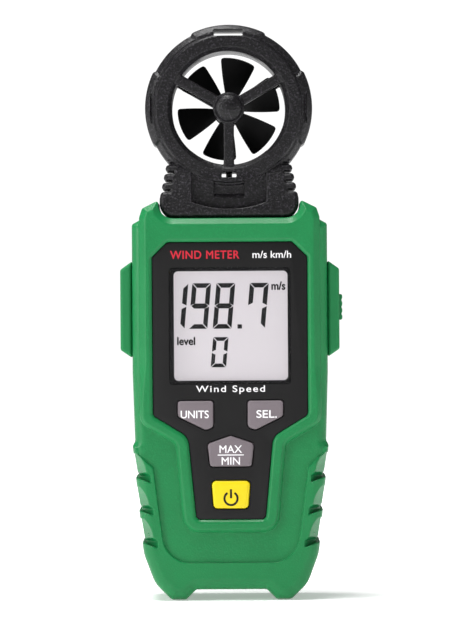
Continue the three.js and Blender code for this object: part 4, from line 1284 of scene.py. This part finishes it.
# ---- nodes shown as they are
def painted_glow_face():
    """The display's pale face, slightly clouded, with a painted glow that evens out the shade of its recess
    and brightens it.
    """
    s = Shader("display_face_painted_glow", linear(218, 212, 217), 0.35)
    s.colour(s.mix(s.noise(30.0, 2.0), linear(138, 134, 137), linear(144, 140, 143)))
    # Painted light: this emission stands in for light falling on the face and evens out the shade cast by
    # the recess.
    s.bsdf.inputs["Emission Color"].default_value = (*linear(225, 219, 224), 1)
    s.bsdf.inputs["Emission Strength"].default_value = 0.72
    return s


def board_green():
    """Solder mask over a web of copper tracks."""
    s = Shader("solder_mask", linear(20, 92, 52), 0.35)
    tracks = s.remap(s.noise(2.2, 0.0, 0.5, (1, 1, 4)), 0.47, 0.5)
    other = s.remap(s.noise(2.2, 0.0, 0.5, (4, 1, 1)), 0.5, 0.53)
    web = s.maths("MULTIPLY", tracks, other)
    s.colour(s.mix(web, linear(16, 80, 44), linear(40, 128, 76)))
    s.bump(web, 0.02)
    return s


def cell_wrap():
    """A printed sleeve that turns pale above a height of 44 mm."""
    s = Shader("cell_sleeve", linear(40, 62, 110), 0.3)
    height = s.node("ShaderNodeSeparateXYZ")
    s.link(s.place, height.inputs[0])
    pale = s.remap(height.outputs["Z"], 0.0440, 0.0442)
    s.colour(s.mix(pale, linear(38, 60, 112), linear(200, 202, 206)))
    s.rough(s.patches(6.0, 3.0, 0.22, 0.36))
    s.bump(s.noise(3.0, 2.0), 0.02)
    return s


glass = painted_glow_face()
board = board_green()
cell = cell_wrap()
FINISHES = {
    "lcd_panel": glass, "backlight": milky, "lcd_holder": milky, "ribbon_connector": milky,
    "sensor_ribbon": milky, "main_board": board, "wheel_shaft": steel, "hub_magnet": steel,
    "front_bearing": brass, "rear_bearing": brass, "battery_lead_positive": red_wire,
}


def finish_of(name):
    if name in FINISHES:
        return FINISHES[name]
    if "screw" in name or "spring" in name or name.startswith("contact_") and name != "contact_strip":
        return steel
    return cell if name.startswith("cell_") else chip_black


for name in frame["nodes"]:
    node = bpy.data.objects.get(name)
    if node is None or node.hide_render:
        continue
    for slot in node.material_slots:
        slot.link = "DATA"
    node.data.materials.clear()
    node.data.materials.append(finish_of(name).material)
